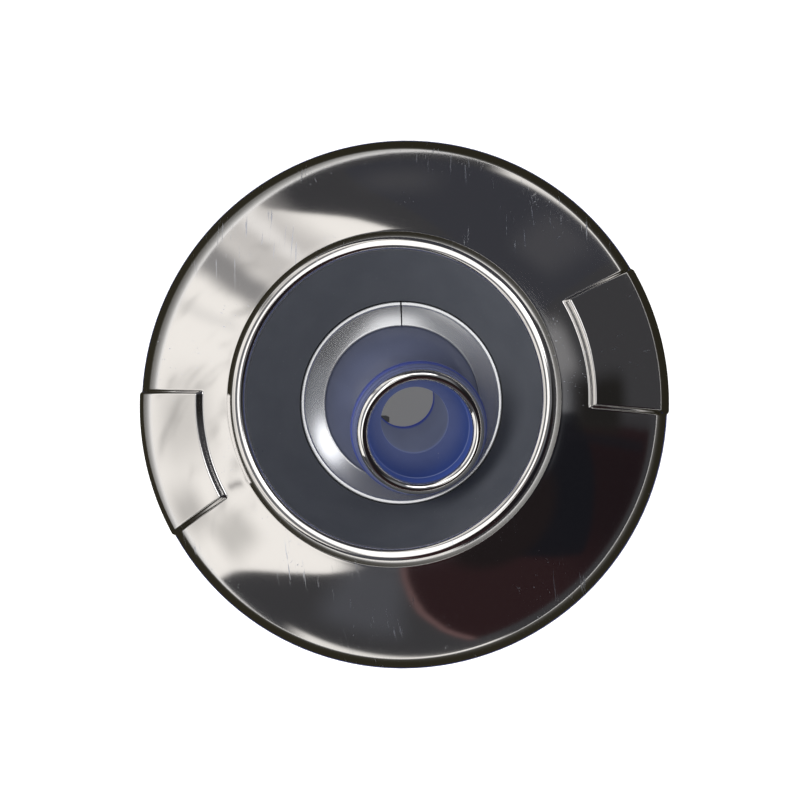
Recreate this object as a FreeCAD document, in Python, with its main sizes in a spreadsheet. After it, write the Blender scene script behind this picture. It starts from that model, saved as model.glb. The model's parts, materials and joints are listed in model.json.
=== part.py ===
import FreeCAD, Part
import math
import os
import Sketcher

# Hot tub jet insert: stainless face, funnel, swivelling ball nozzle, throttle sleeve and ported barrel.
# Millimetres. The jet axis is +Z, the face looks up, and the tail stands on Z = 0.

os.makedirs("parts", exist_ok=True)
document = FreeCAD.newDocument("HotTubJet")
Vector = FreeCAD.Vector

# Driving dimensions, in millimetres and degrees
SIZES = {
    # Face and cover
    "seat_height": 72.0,
    "face_radius": 63.5,
    "sheet_thickness": 0.8,
    "rim_height": 1.0,
    "rim_overhang": 0.2,
    "skirt_height": 1.3,
    "bevel_width": 2.2,
    "bevel_height": 4.35,
    "bevel_bend": 18.0,
    "dome_bend": 65.0,
    "dome_lip_distance": 3.5,
    "dome_inner_height": 17.4,
    "lip_foot_angle": 13.0,
    "lip_foot_bend": 3.0,
    "lip_overlap": 1.7,
    "lip_height": 20.0,
    "bead_bend": 1.6,
    "lip_return": 1.2,
    # Grip pads
    "pad_inset": 5.5,
    "pad_rise": 1.8,
    "pad_overhang": 0.7,
    "pad_span": 33.5,
    "pad_angle": 13.5,
    "pad_edge": 0.45,
    "pad_bevel_inset": 0.4,
    # Clearances shared by several pieces
    "face_gap": 0.02,
    "slack": 0.05,
    "cut_reach": 1.0,
    # Face plate
    "cover_gap": 0.1,
    "plate_wall": 2.4,
    "collar_wall": 2.2,
    "web_height": 1.2,
    "web_thickness": 2.3,
    "rib_thickness": 1.6,
    "rib_count": 12.0,
    "hub_wall": 1.2,
    "hub_shoulder": 1.0,
    "hub_depth": 6.0,
    "hub_shoulder_depth": 4.4,
    "collar_shoulder": 3.0,
    "collar_chamfer": 0.6,
    "rib_bite": 0.5,
    "rib_inset": 1.0,
    "rib_clearance": 0.3,
    "core_bite": 0.6,
    "core_foot": 0.2,
    # Funnel and its screws
    "funnel_top_radius": 35.0,
    "funnel_top_height": 17.0,
    "funnel_wall": 1.9,
    "funnel_flange": 2.3,
    "funnel_bend": 70.0,
    "flange_lead": 0.3,
    "flange_chamfer": 0.4,
    "screw_inset": 1.0,
    "screw_count": 4.0,
    "screw_radius": 1.3,
    "screw_length": 7.0,
    "screw_head_radius": 2.4,
    "screw_head_height": 1.2,
    "boss_radius": 2.6,
    "screw_hole_gap": 0.2,
    "screw_end_gap": 0.3,
    # Ball, socket and nozzle
    "pivot_depth": 12.5,
    "ball_radius": 22.4,
    "ball_gap": 0.3,
    "ball_cut": 18.0,
    "socket_radius": 24.4,
    "socket_top": 2.2,
    "socket_dish": 1.7,
    "socket_rim": 0.9,
    "socket_depth": 3.0,
    "socket_slit": 0.4,
    "socket_edge": 0.4,
    "dish_lead": 0.3,
    "dish_lift": 0.1,
    "dish_bend": 30.0,
    "lean": 20.6,
    "lean_direction": -52.0,
    "neck_radius": 12.2,
    "neck_fillet": 0.8,
    "collar_start": 22.4,
    "collar_radius": 16.3,
    "collar_step": 0.45,
    "collar_edge": 0.5,
    "collar_rise": 0.3,
    "mouth_height": 27.5,
    "mouth_radius": 12.4,
    "mouth_depth": 3.0,
    "throat_radius": 8.5,
    "throat_height": 15.5,
    "throat_bend": 15.0,
    "throat_step": 0.3,
    "tube_radius": 7.4,
    "tube_height": -10.0,
    "tube_inlet_radius": 10.0,
    "trim_outer_radius": 15.1,
    "trim_side": 0.7,
    "trim_bend": 1.5,
    # Housing and seat ring
    "seat_ring_top": 2.5,
    "seat_ring_bottom": 14.1,
    "seat_ring_radius": 23.7,
    "running_gap": 0.3,
    "housing_wall": 1.8,
    "housing_floor": 2.7,
    "housing_bore": 17.0,
    "seat_seal_section": 2.2,
    "seat_seal_radius": 21.4,
    "seat_seal_squeeze": 0.3,
    "seat_seal_room": 0.2,
    # Throttle sleeve
    "fit_gap": 0.1,
    "sleeve_wall": 2.0,
    "sleeve_ledge": 2.0,
    "sleeve_ledge_radius": 23.6,
    "sleeve_flange": 1.8,
    "sleeve_flange_radius": 30.9,
    "sleeve_float": 0.2,
    "port_bottom": 18.0,
    "port_height": 17.0,
    "port_width": 70.0,
    "port_side_angle": 90.0,
    # Barrel
    "barrel_wall": 2.5,
    "barrel_top": 0.9,
    "barrel_band_radius": 34.0,
    "barrel_band_height": 17.0,
    "barrel_floor_height": 12.0,
    "barrel_floor": 2.5,
    "barrel_chamfer": 1.5,
    "tail_radius": 25.0,
    "tail_bore": 19.0,
    "lug_height": 44.0,
    "lug_thickness": 4.0,
    "lug_span": 30.0,
    "lug_bite": 0.5,
    "lug_chamfer": 0.6,
    "washer_thickness": 0.6,
    "washer_edge_gap": 0.1,
    "shoulder_room": 0.2,
    "lower_washer_thickness": 1.2,
    "lower_washer_inner_lap": 0.4,
    "lower_washer_outer_gap": 0.15,
    "snap_groove_depth": 1.1,
    "snap_thickness": 1.0,
    "snap_opening": 14.0,
    "snap_float": 0.15,
    "snap_groove_gap": 0.1,
    "snap_hub_gap": 0.3,
    # Seals
    "barrel_seal_section": 3.0,
    "barrel_seal_height": 57.6,
    "tail_seal_section": 2.4,
    "tail_seal_height": 5.0,
    "sleeve_seal_section": 1.6,
    "sleeve_seal_height": 50.0,
    "sleeve_seal_squeeze": 0.04,
    # Inlet nozzle
    "inlet_radius": 15.2,
    "inlet_wall": 2.0,
    "inlet_straight": 10.0,
    "inlet_bend": 60.0,
    "inlet_bottom": 1.0,
    "inlet_chamfer": 1.0,
    "venturi_height": 26.0,
    "venturi_radius": 11.8,
    "vane_count": 8.0,
    "vane_reach": 3.4,
    "vane_thickness": 1.4,
    "vane_height": 7.0,
    "vane_ring_wall": 1.2,
    "vane_recess": 1.0,
}

sheet = document.addObject("Spreadsheet::Sheet", "Sizes")
for row, (alias, number) in enumerate(SIZES.items(), start=1):
    sheet.set(f"A{row}", alias)
    sheet.set(f"B{row}", str(number))
    sheet.setAlias(f"B{row}", alias)
document.recompute()


class Size:
    """A length or angle that knows its value and the spreadsheet expression it comes from."""

    def __init__(self, number, text):
        self.number = float(number)
        self.text = text

    @staticmethod
    def of(value):
        return value if isinstance(value, Size) else Size(value, repr(float(value)))

    def __add__(self, other):
        other = Size.of(other)
        return Size(self.number + other.number, f"({self.text} + {other.text})")

    def __sub__(self, other):
        other = Size.of(other)
        return Size(self.number - other.number, f"({self.text} - {other.text})")

    def __mul__(self, other):
        other = Size.of(other)
        return Size(self.number * other.number, f"({self.text} * {other.text})")

    def __truediv__(self, other):
        other = Size.of(other)
        return Size(self.number / other.number, f"({self.text} / {other.text})")

    def __radd__(self, other):
        return Size.of(other) + self

    def __rsub__(self, other):
        return Size.of(other) - self

    def __rmul__(self, other):
        return Size.of(other) * self

    def __neg__(self):
        return Size(-self.number, f"(0 - {self.text})")

    def root(self):
        return Size(math.sqrt(self.number), f"sqrt({self.text})")

    def sine(self):
        return Size(math.sin(math.radians(self.number)), f"sin({self.text} * 1 deg)")

    def cosine(self):
        return Size(math.cos(math.radians(self.number)), f"cos({self.text} * 1 deg)")


D = {alias: Size(number, f"Sizes.{alias}") for alias, number in SIZES.items()}


def circle_centre(start, end, bend, side):
    """Centre of the arc of radius bend from start to end; side is 1 left of the chord and -1 right."""
    run = end[0] - start[0]
    rise = end[1] - start[1]
    chord = (run * run + rise * rise).root()
    reach = (bend * bend - chord * chord / 4.0).root() * side
    middle = ((start[0] + end[0]) / 2.0, (start[1] + end[1]) / 2.0)
    return (middle[0] - rise * reach / chord, middle[1] + run * reach / chord)


def moved_out(centre, bend, point, distance):
    """The point moved along its radius from centre by distance."""
    share = 1.0 + distance / bend
    return (centre[0] + (point[0] - centre[0]) * share, centre[1] + (point[1] - centre[1]) * share)


def arc_height(centre, bend, radius):
    """Height of the arc's upper side at a radius from the jet axis."""
    across = radius - centre[0]
    return centre[1] + (bend * bend - across * across).root()


def arc_radius(bend, height):
    """Radius of a sphere's section at a height from its centre."""
    return (bend * bend - height * height).root()


def new_body(label):
    body = document.addObject("PartDesign::Body", label)
    body.Label = label
    return body


def origin_plane(body, role):
    return next(item for item in body.Origin.OriginFeatures if item.Role == role)


def new_sketch(body, name, role, turn=None):
    """A sketch on one of the body's own planes; turn swings an XZ sketch about the jet axis."""
    sketch = body.newObject("Sketcher::SketchObject", name)
    sketch.AttachmentSupport = [(origin_plane(body, role), "")]
    sketch.MapMode = "FlatFace"
    if turn is not None:
        swing = FreeCAD.Rotation(Vector(0, 1, 0), turn.number)
        sketch.AttachmentOffset = FreeCAD.Placement(Vector(), swing)
        sketch.setExpression("AttachmentOffset.Rotation.Angle", turn.text)
    return sketch


def arc_geometry(start, end, bend, side):
    """Sketch arc from start to end, and whether it runs counter-clockwise."""
    centre = circle_centre(start, end, bend, side)
    middle = Vector(centre[0].number, centre[1].number, 0)
    first = Vector(start[0].number, start[1].number, 0) - middle
    last = Vector(end[0].number, end[1].number, 0) - middle
    forwards = side > 0
    if not forwards:
        first, last = last, first
    circle = Part.Circle(middle, Vector(0, 0, 1), bend.number)
    return Part.ArcOfCircle(circle, math.atan2(first.y, first.x), math.atan2(last.y, last.x)), forwards


def draw_outline(sketch, corners):
    """Closes the corners into a loop and binds every coordinate and bend to the sheet.

    A corner is (x, y), or (x, y, bend, side) where an arc leads to it from the corner before.
    """
    points = [(Size.of(corner[0]), Size.of(corner[1])) for corner in corners]
    starts = []
    ends = []
    for index, point in enumerate(points):
        following = (index + 1) % len(points)
        corner = corners[following]
        if len(corner) == 4:
            curve, forwards = arc_geometry(point, points[following], Size.of(corner[2]), corner[3])
            edge = sketch.addGeometry(curve)
            radius = sketch.addConstraint(Sketcher.Constraint("Radius", edge, Size.of(corner[2]).number))
            sketch.setExpression(f"Constraints[{radius}]", Size.of(corner[2]).text)
            starts.append((edge, 1 if forwards else 2))
            ends.append((edge, 2 if forwards else 1))
        else:
            first = Vector(point[0].number, point[1].number, 0)
            last = Vector(points[following][0].number, points[following][1].number, 0)
            edge = sketch.addGeometry(Part.LineSegment(first, last))
            starts.append((edge, 1))
            ends.append((edge, 2))
    for index, point in enumerate(points):
        sketch.addConstraint(Sketcher.Constraint("Coincident", *ends[index - 1], *starts[index]))
        for kind, coordinate in (("DistanceX", point[0]), ("DistanceY", point[1])):
            rule = Sketcher.Constraint(kind, -1, 1, *starts[index], coordinate.number)
            number = sketch.addConstraint(rule)
            sketch.setExpression(f"Constraints[{number}]", coordinate.text)


def revolve(body, name, corners, span=None, turn=None, remove=False):
    """Turns an outline about the jet axis, all round or over a span centred on the sketch."""
    sketch = new_sketch(body, name + "Outline", "XZ_Plane", turn)
    draw_outline(sketch, corners)
    kind = "PartDesign::Groove" if remove else "PartDesign::Revolution"
    feature = body.newObject(kind, name)
    feature.Profile = sketch
    feature.ReferenceAxis = (sketch, ["V_Axis"])
    feature.Angle = 360.0 if span is None else span.number
    if span is not None:
        feature.Midplane = True
        feature.setExpression("Angle", span.text)
    return feature


def pattern(body, name, features, count):
    """Repeats features evenly about the jet axis."""
    feature = body.newObject("PartDesign::PolarPattern", name)
    feature.Originals = features
    feature.Axis = (origin_plane(body, "Z_Axis"), [""])
    feature.Angle = 360.0
    feature.Occurrences = round(count.number)
    if count.text.startswith("Sizes."):
        feature.setExpression("Occurrences", count.text)
    body.Tip = feature
    return feature


def volume_of(body):
    document.recompute()
    return body.Shape.Volume


def must_change(body, before, what, grows):
    """Stops the build where a feature added or cut nothing."""
    after = volume_of(body)
    if (after - before) * (1 if grows else -1) < 1.0:
        raise RuntimeError(f"{what} changed nothing in {body.Label}: {before} to {after}")


def seal_ring(label, mean_radius, section, height):
    """An O-ring of round section at a height on the jet axis."""
    ring = document.addObject("Part::Torus", label)
    ring.Label = label
    ring.setExpression("Radius1", mean_radius.text)
    ring.setExpression("Radius2", (section / 2.0).text)
    ring.setExpression("Placement.Base.z", height.text)
    return ring


seat = D["seat_height"]
face_radius = D["face_radius"]
bevel_radius = face_radius - D["bevel_width"]
lip_radius = D["funnel_top_radius"] + D["lip_overlap"]
dome_inner_radius = lip_radius + D["dome_lip_distance"]
pad_inner_radius = dome_inner_radius + D["pad_inset"]
screw_circle = D["funnel_top_radius"] - D["screw_inset"]
sheet_wall = D["sheet_thickness"]

# Section of the cover's outer side, from the skirt up over the dome to the lip
skirt_foot = (face_radius, seat + D["rim_height"])
skirt_top = (face_radius, seat + D["skirt_height"])
bevel = (bevel_radius, seat + D["bevel_height"])
dome_end = (dome_inner_radius, seat + D["dome_inner_height"])
bead_centre = (lip_radius, seat + D["lip_height"] - D["bead_bend"])
lip_foot = (
    bead_centre[0] + D["bead_bend"] * D["lip_foot_angle"].cosine(),
    bead_centre[1] + D["bead_bend"] * D["lip_foot_angle"].sine(),
)
bead_inner = (bead_centre[0] - D["bead_bend"], bead_centre[1])
lip_edge = (bead_inner[0], bead_centre[1] - D["lip_return"])
bevel_centre = circle_centre(skirt_top, bevel, D["bevel_bend"], 1)
dome_centre = circle_centre(bevel, dome_end, D["dome_bend"], 1)


def dome_point(radius, out):
    """Point of the dome at a radius, moved out from the cover's outer side."""
    bend = D["dome_bend"] + out
    return (radius, arc_height(dome_centre, bend, radius))


# Escutcheon cover: one pressed sheet with a skirt, a dome, a rounded lip and two raised grip pads
cover = new_body("escutcheon_cover")
inner_bevel = moved_out(bevel_centre, D["bevel_bend"], bevel, -sheet_wall)
inner_skirt_top = (face_radius - sheet_wall, skirt_top[1])
inner_dome_start = moved_out(dome_centre, D["dome_bend"], bevel, -sheet_wall)
inner_dome_end = moved_out(dome_centre, D["dome_bend"], dome_end, -sheet_wall)
bead_under = (bead_centre[0] + D["bead_bend"] - sheet_wall - D["slack"], bead_centre[1])
revolve(cover, "Sheet", [
    skirt_foot,
    skirt_top,
    (bevel[0], bevel[1], D["bevel_bend"], 1),
    (dome_end[0], dome_end[1], D["dome_bend"], 1),
    (lip_foot[0], lip_foot[1], D["lip_foot_bend"], -1),
    (bead_inner[0], bead_inner[1], D["bead_bend"], 1),
    lip_edge,
    (lip_edge[0] + sheet_wall, lip_edge[1]),
    (bead_inner[0] + sheet_wall, bead_inner[1]),
    (bead_under[0], bead_under[1], D["bead_bend"] - sheet_wall, -1),
    inner_dome_end,
    (inner_dome_start[0], inner_dome_start[1], D["dome_bend"] - sheet_wall, -1),
    inner_skirt_top,
    (face_radius - sheet_wall, skirt_foot[1]),
])


def pad_outline(inner_radius, lift, side_overhang, depth, bottom):
    """Section of a pad: its top follows the dome at a lift, its inside lies depth below the dome."""
    outer_radius = face_radius + side_overhang
    top_inner = dome_point(inner_radius, lift)
    top_outer = dome_point(bevel_radius + D["pad_bevel_inset"], lift)
    base_inner = dome_point(inner_radius, -depth)
    base_outer = moved_out(dome_centre, D["dome_bend"], bevel, -depth)
    return [
        base_inner,
        (base_outer[0], base_outer[1], D["dome_bend"] - depth, -1),
        (face_radius - depth, skirt_top[1]),
        (face_radius - depth, bottom),
        (outer_radius, bottom),
        (outer_radius, skirt_top[1] + side_overhang),
        (top_outer[0], top_outer[1], D["bevel_bend"], 1),
        (top_inner[0], top_inner[1], D["dome_bend"] + lift, 1),
    ]


def wall_span(radius, wall):
    """Angle that a wall takes up at a radius, in degrees."""
    return wall / radius * 57.2958


volume = volume_of(cover)
pad = revolve(
    cover,
    "Pad",
    pad_outline(pad_inner_radius, D["pad_rise"], D["pad_overhang"], sheet_wall / 2.0, skirt_foot[1]),
    span=D["pad_span"],
    turn=D["pad_angle"],
)
pads = pattern(cover, "BothPads", [pad], Size(2, "2"))
must_change(cover, volume, "the grip pads", True)


def pad_rim_edges(shape):
    """Names of the outer edges round each pad's top and at its outer corners."""
    names = []
    lowest = D["pad_rise"].number * 0.6
    outermost = face_radius.number + D["pad_overhang"].number * 0.9
    longest = (D["pad_rise"].number + D["pad_overhang"].number) * 2.4
    bend = D["dome_bend"].number
    centre = Vector(dome_centre[0].number, dome_centre[1].number, 0)
    for index, edge in enumerate(shape.Edges, start=1):
        middle = edge.valueAt((edge.FirstParameter + edge.LastParameter) / 2.0)
        radius = math.hypot(middle.x, middle.y)
        if radius < pad_inner_radius.number - D["pad_edge"].number:
            continue
        rise = (Vector(radius, middle.z, 0) - centre).Length - bend
        on_skirt = radius > outermost and edge.Length < longest
        if (rise > lowest and radius < bevel_radius.number) or on_skirt:
            names.append(f"Edge{index}")
    return names


volume = volume_of(cover)
rounding = cover.newObject("PartDesign::Fillet", "PadRounding")
rounding.Base = (pads, pad_rim_edges(pads.Shape))
rounding.setExpression("Radius", D["pad_edge"].text)
document.recompute()

hollow_span = D["pad_span"] - 2.0 * wall_span(pad_inner_radius, sheet_wall)
hollow = revolve(
    cover,
    "PadHollow",
    pad_outline(
        pad_inner_radius + sheet_wall,
        D["pad_rise"] - sheet_wall,
        D["pad_overhang"] - sheet_wall,
        2.0 * sheet_wall,
        skirt_foot[1] - D["cut_reach"],
    ),
    span=hollow_span,
    turn=D["pad_angle"],
    remove=True,
)
pattern(cover, "BothHollows", [hollow], Size(2, "2"))
must_change(cover, volume, "the pad hollows", False)

# Face plate: rim, domed wall, collar round the funnel, web and hub, ribs and the cores of the pads
plate = new_body("face_plate")
plate_top = sheet_wall + D["cover_gap"]
plate_under = plate_top + D["plate_wall"]
rim_radius = face_radius + D["rim_overhang"]
rim_top = seat + D["rim_height"] - D["face_gap"]
sleeve_inner = D["socket_radius"] + D["fit_gap"] + D["housing_wall"] + D["fit_gap"]
sleeve_outer = sleeve_inner + D["sleeve_wall"]
hub_inner = sleeve_outer + D["fit_gap"]
hub_outer = hub_inner + D["hub_wall"]
collar_inner = D["funnel_top_radius"] + D["funnel_flange"] + 2.0 * D["fit_gap"]
collar_outer = collar_inner + D["collar_wall"]
web_under = seat + D["web_height"]
web_top = web_under + D["web_thickness"]
funnel_bottom_radius = D["socket_radius"] + 2.0 * D["fit_gap"]
funnel_foot_radius = funnel_bottom_radius + D["funnel_wall"]
funnel_top = seat + D["funnel_top_height"]
flange_radius = D["funnel_top_radius"] + D["funnel_flange"]
flange_under = funnel_top - D["funnel_wall"]
taper = (flange_radius - D["flange_lead"] - funnel_foot_radius) / (flange_under - seat)
web_edge = funnel_foot_radius + taper * (web_top - seat) + 2.0 * D["fit_gap"]
plate_edge = moved_out(dome_centre, D["dome_bend"], bevel, -plate_top)
plate_inner_top = dome_point(collar_inner + D["collar_shoulder"], -plate_top)
collar_top = plate_inner_top[1] - D["collar_chamfer"]
under_edge = moved_out(dome_centre, D["dome_bend"], bevel, -plate_under)
under_inner = dome_point(collar_outer, -plate_under)
revolve(plate, "Moulding", [
    (rim_radius, seat),
    (rim_radius, rim_top),
    (face_radius - plate_top, rim_top),
    (face_radius - plate_top, skirt_top[1]),
    plate_edge,
    (plate_inner_top[0], plate_inner_top[1], D["dome_bend"] - plate_top, 1),
    (collar_inner, collar_top),
    (collar_inner, web_top),
    (web_edge, web_top),
    (hub_inner, web_top - (web_edge - hub_inner) / taper),
    (hub_inner, seat - D["hub_depth"]),
    (hub_outer + D["hub_shoulder"], seat - D["hub_depth"]),
    (hub_outer + D["hub_shoulder"], seat - D["hub_shoulder_depth"]),
    (hub_outer, seat - D["hub_shoulder_depth"]),
    (hub_outer, web_under),
    (collar_outer, web_under),
    under_inner,
    (under_edge[0], under_edge[1], D["dome_bend"] - plate_under, -1),
    (under_edge[0], seat),
])
volume = volume_of(plate)
rib_sketch = new_sketch(plate, "RibOutline", "XZ_Plane")
rib_depth = plate_top + D["rib_inset"]
rib_foot = web_under + D["rib_clearance"]
rib_inner = dome_point(collar_outer - D["rib_bite"], -rib_depth)
rib_outer = moved_out(dome_centre, D["dome_bend"], bevel, -rib_depth)
draw_outline(rib_sketch, [
    (rib_inner[0], rib_foot),
    (rib_outer[0], rib_foot),
    rib_outer,
    (rib_inner[0], rib_inner[1], D["dome_bend"] - rib_depth, 1),
])
rib = plate.newObject("PartDesign::Pad", "Rib")
rib.Profile = rib_sketch
rib.Midplane = True
rib.setExpression("Length", D["rib_thickness"].text)
pattern(plate, "Ribs", [rib], D["rib_count"])
must_change(plate, volume, "the ribs", True)
volume = volume_of(plate)
core = revolve(
    plate,
    "PadCore",
    pad_outline(
        pad_inner_radius + 2.0 * sheet_wall,
        D["pad_rise"] - plate_top,
        D["pad_overhang"] - plate_top,
        plate_top + D["core_bite"],
        rim_top - D["core_foot"],
    ),
    span=D["pad_span"] - 3.0 * wall_span(pad_inner_radius, sheet_wall),
    turn=D["pad_angle"],
)
pattern(plate, "BothPadCores", [core], Size(2, "2"))
must_change(plate, volume, "the pad cores", True)


def circle_at(sketch, radius_size, centre_size):
    """A circle on the sketch's X axis, bound to the sheet."""
    middle = Vector(centre_size.number, 0, 0)
    circle = sketch.addGeometry(Part.Circle(middle, Vector(0, 0, 1), radius_size.number))
    across = sketch.addConstraint(Sketcher.Constraint("DistanceX", -1, 1, circle, 3, centre_size.number))
    sketch.addConstraint(Sketcher.Constraint("PointOnObject", circle, 3, -1))
    size = sketch.addConstraint(Sketcher.Constraint("Radius", circle, radius_size.number))
    sketch.setExpression(f"Constraints[{across}]", centre_size.text)
    sketch.setExpression(f"Constraints[{size}]", radius_size.text)


def raised_sketch(body, name, height):
    """A flat sketch at a height on the jet axis."""
    sketch = new_sketch(body, name, "XY_Plane")
    sketch.AttachmentOffset = FreeCAD.Placement(Vector(0, 0, height.number), FreeCAD.Rotation())
    sketch.setExpression("AttachmentOffset.Base.z", height.text)
    return sketch


volume = volume_of(plate)
hole_sketch = raised_sketch(plate, "ScrewHoleOutline", web_top + D["cut_reach"] / 2.0)
circle_at(hole_sketch, D["screw_radius"] + D["screw_hole_gap"], screw_circle)
hole = plate.newObject("PartDesign::Pocket", "ScrewHole")
hole.Profile = hole_sketch
hole.setExpression("Length", (D["web_thickness"] + D["cut_reach"]).text)
pattern(plate, "ScrewHoles", [hole], D["screw_count"])
must_change(plate, volume, "the screw holes", False)

# Funnel: tapered liner with a flange under the lip and four screw bosses
funnel = new_body("funnel")
revolve(funnel, "Liner", [
    (funnel_bottom_radius, seat),
    (funnel_foot_radius, seat),
    (flange_radius - D["flange_lead"], flange_under),
    (flange_radius, flange_under + D["flange_chamfer"]),
    (flange_radius, funnel_top),
    (D["funnel_top_radius"], funnel_top),
    (funnel_bottom_radius, seat + D["socket_top"], D["funnel_bend"], -1),
])
volume = volume_of(funnel)
boss_bottom = web_top + D["fit_gap"]
boss_top = seat + (screw_circle - funnel_foot_radius) / taper
boss_sketch = raised_sketch(funnel, "BossOutline", boss_bottom)
circle_at(boss_sketch, D["boss_radius"], screw_circle)
boss = funnel.newObject("PartDesign::Pad", "Boss")
boss.Profile = boss_sketch
boss.setExpression("Length", (boss_top - boss_bottom).text)
bosses = pattern(funnel, "Bosses", [boss], D["screw_count"])
must_change(funnel, volume, "the bosses", True)
volume = volume_of(funnel)
pilot_sketch = raised_sketch(funnel, "PilotOutline", boss_bottom)
circle_at(pilot_sketch, D["screw_radius"] + D["slack"], screw_circle)
pilot = funnel.newObject("PartDesign::Pocket", "Pilot")
pilot.Profile = pilot_sketch
pilot.Reversed = True
pilot.setExpression("Length", (D["screw_length"] - D["web_thickness"]).text)
pattern(funnel, "Pilots", [pilot], D["screw_count"])
must_change(funnel, volume, "the pilot holes", False)

# Funnel screws: one group of four identical pan heads, driven from the back of the face plate
screws = []
screw_angle = 360.0 / D["screw_count"].number
for index in range(round(D["screw_count"].number)):
    head = document.addObject("Part::Cylinder", f"ScrewHead{index + 1}")
    head.setExpression("Radius", D["screw_head_radius"].text)
    head.setExpression("Height", (D["screw_head_height"] - D["slack"]).text)
    shank = document.addObject("Part::Cylinder", f"ScrewShank{index + 1}")
    shank.setExpression("Radius", D["screw_radius"].text)
    shank.setExpression("Height", (D["screw_length"] - D["screw_end_gap"]).text)
    head_foot = web_under - D["screw_head_height"]
    shank_foot = web_under - D["screw_end_gap"]
    for piece, foot in ((head, head_foot), (shank, shank_foot)):
        turn = Size.of(index * screw_angle)
        piece.setExpression("Placement.Base.x", (screw_circle * turn.cosine()).text)
        piece.setExpression("Placement.Base.y", (screw_circle * turn.sine()).text)
        piece.setExpression("Placement.Base.z", foot.text)
    joined = document.addObject("Part::Fuse", f"Screw{index + 1}")
    joined.Base = head
    joined.Tool = shank
    screws.append(joined)
screw_group = document.addObject("Part::Compound", "funnel_screws")
screw_group.Label = "funnel_screws"
screw_group.Links = screws

# Ball centre on the jet axis and the sphere that the ball's neighbours keep clear of
pivot = seat - D["pivot_depth"]
socket_bend = D["ball_radius"] + D["ball_gap"]

# Socket ring: dished ring over the ball, split at the top
ring = new_body("socket_ring")
socket_top = seat + D["socket_top"]
socket_bottom = seat - D["socket_depth"]
ring_inner_top = socket_top - D["socket_dish"]
ring_inner_radius = arc_radius(socket_bend, ring_inner_top - pivot)
ring_low_radius = arc_radius(socket_bend, socket_bottom - pivot)
revolve(ring, "Dish", [
    (ring_low_radius, socket_bottom, socket_bend, -1),
    (D["socket_radius"], socket_bottom),
    (D["socket_radius"], socket_top - D["socket_edge"]),
    (D["socket_radius"] - D["socket_edge"], socket_top, D["socket_edge"], 1),
    (D["socket_radius"] - D["socket_rim"], socket_top),
    (ring_inner_radius + D["dish_lead"], ring_inner_top + D["dish_lift"], D["dish_bend"], -1),
    (ring_inner_radius, ring_inner_top),
])
volume = volume_of(ring)
slit_sketch = new_sketch(ring, "SlitOutline", "XY_Plane")
draw_outline(slit_sketch, [
    (-D["socket_slit"] / 2.0, ring_inner_radius - 2.0 * D["cut_reach"]),
    (D["socket_slit"] / 2.0, ring_inner_radius - 2.0 * D["cut_reach"]),
    (D["socket_slit"] / 2.0, D["socket_radius"] + D["cut_reach"]),
    (-D["socket_slit"] / 2.0, D["socket_radius"] + D["cut_reach"]),
])
slit = ring.newObject("PartDesign::Pocket", "Slit")
slit.Profile = slit_sketch
slit.Type = "ThroughAll"
slit.Midplane = True
must_change(ring, volume, "the slit", False)

# Ball housing: cup inside the sleeve, stepped for the socket ring, bored for the seat ring
housing = new_body("ball_housing")
housing_inner = D["socket_radius"] + D["fit_gap"]
housing_outer = housing_inner + D["housing_wall"]
seat_bore = D["seat_ring_radius"] + D["running_gap"]
seat_ring_bottom = pivot - D["seat_ring_bottom"]
floor_top = seat_ring_bottom - D["seat_seal_section"] + D["seat_seal_room"]
floor_under = floor_top - D["housing_floor"]
housing_top = seat - D["fit_gap"]
revolve(housing, "Cup", [
    (D["housing_bore"], floor_under),
    (housing_outer, floor_under),
    (housing_outer, housing_top),
    (housing_inner, housing_top),
    (housing_inner, socket_bottom - D["slack"]),
    (seat_bore, socket_bottom - D["slack"]),
    (seat_bore, floor_top),
    (D["housing_bore"], floor_top),
])

# Seat ring: low-friction ring with a spherical seat for the lower half of the ball
seat_ring = new_body("ball_seat_ring")
seat_ring_top = pivot - D["seat_ring_top"]
revolve(seat_ring, "Seat", [
    (arc_radius(socket_bend, D["seat_ring_bottom"]), seat_ring_bottom, socket_bend, -1),
    (D["seat_ring_radius"], seat_ring_bottom),
    (D["seat_ring_radius"], seat_ring_top),
    (arc_radius(socket_bend, D["seat_ring_top"]), seat_ring_top),
])

# Seat O-ring: friction ring between the housing's floor and the seat ring
squeezed = D["seat_seal_section"] - D["seat_seal_squeeze"]
seal_ring("seat_o_ring", D["seat_seal_radius"], squeezed, floor_top + squeezed / 2.0 + D["face_gap"])


def lean_over(item):
    """Leans a piece about the ball's centre, toward the lean direction."""
    toward = math.radians(SIZES["lean_direction"])
    axis = Vector(-math.sin(toward), math.cos(toward), 0)
    item.Placement = FreeCAD.Placement(Vector(0, 0, pivot.number), FreeCAD.Rotation(axis, SIZES["lean"]))
    item.setExpression("Placement.Base.z", pivot.text)
    item.setExpression("Placement.Rotation.Angle", D["lean"].text)
    item.setExpression("Placement.Rotation.Axis.x", (-D["lean_direction"].sine()).text)
    item.setExpression("Placement.Rotation.Axis.y", D["lean_direction"].cosine().text)


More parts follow.
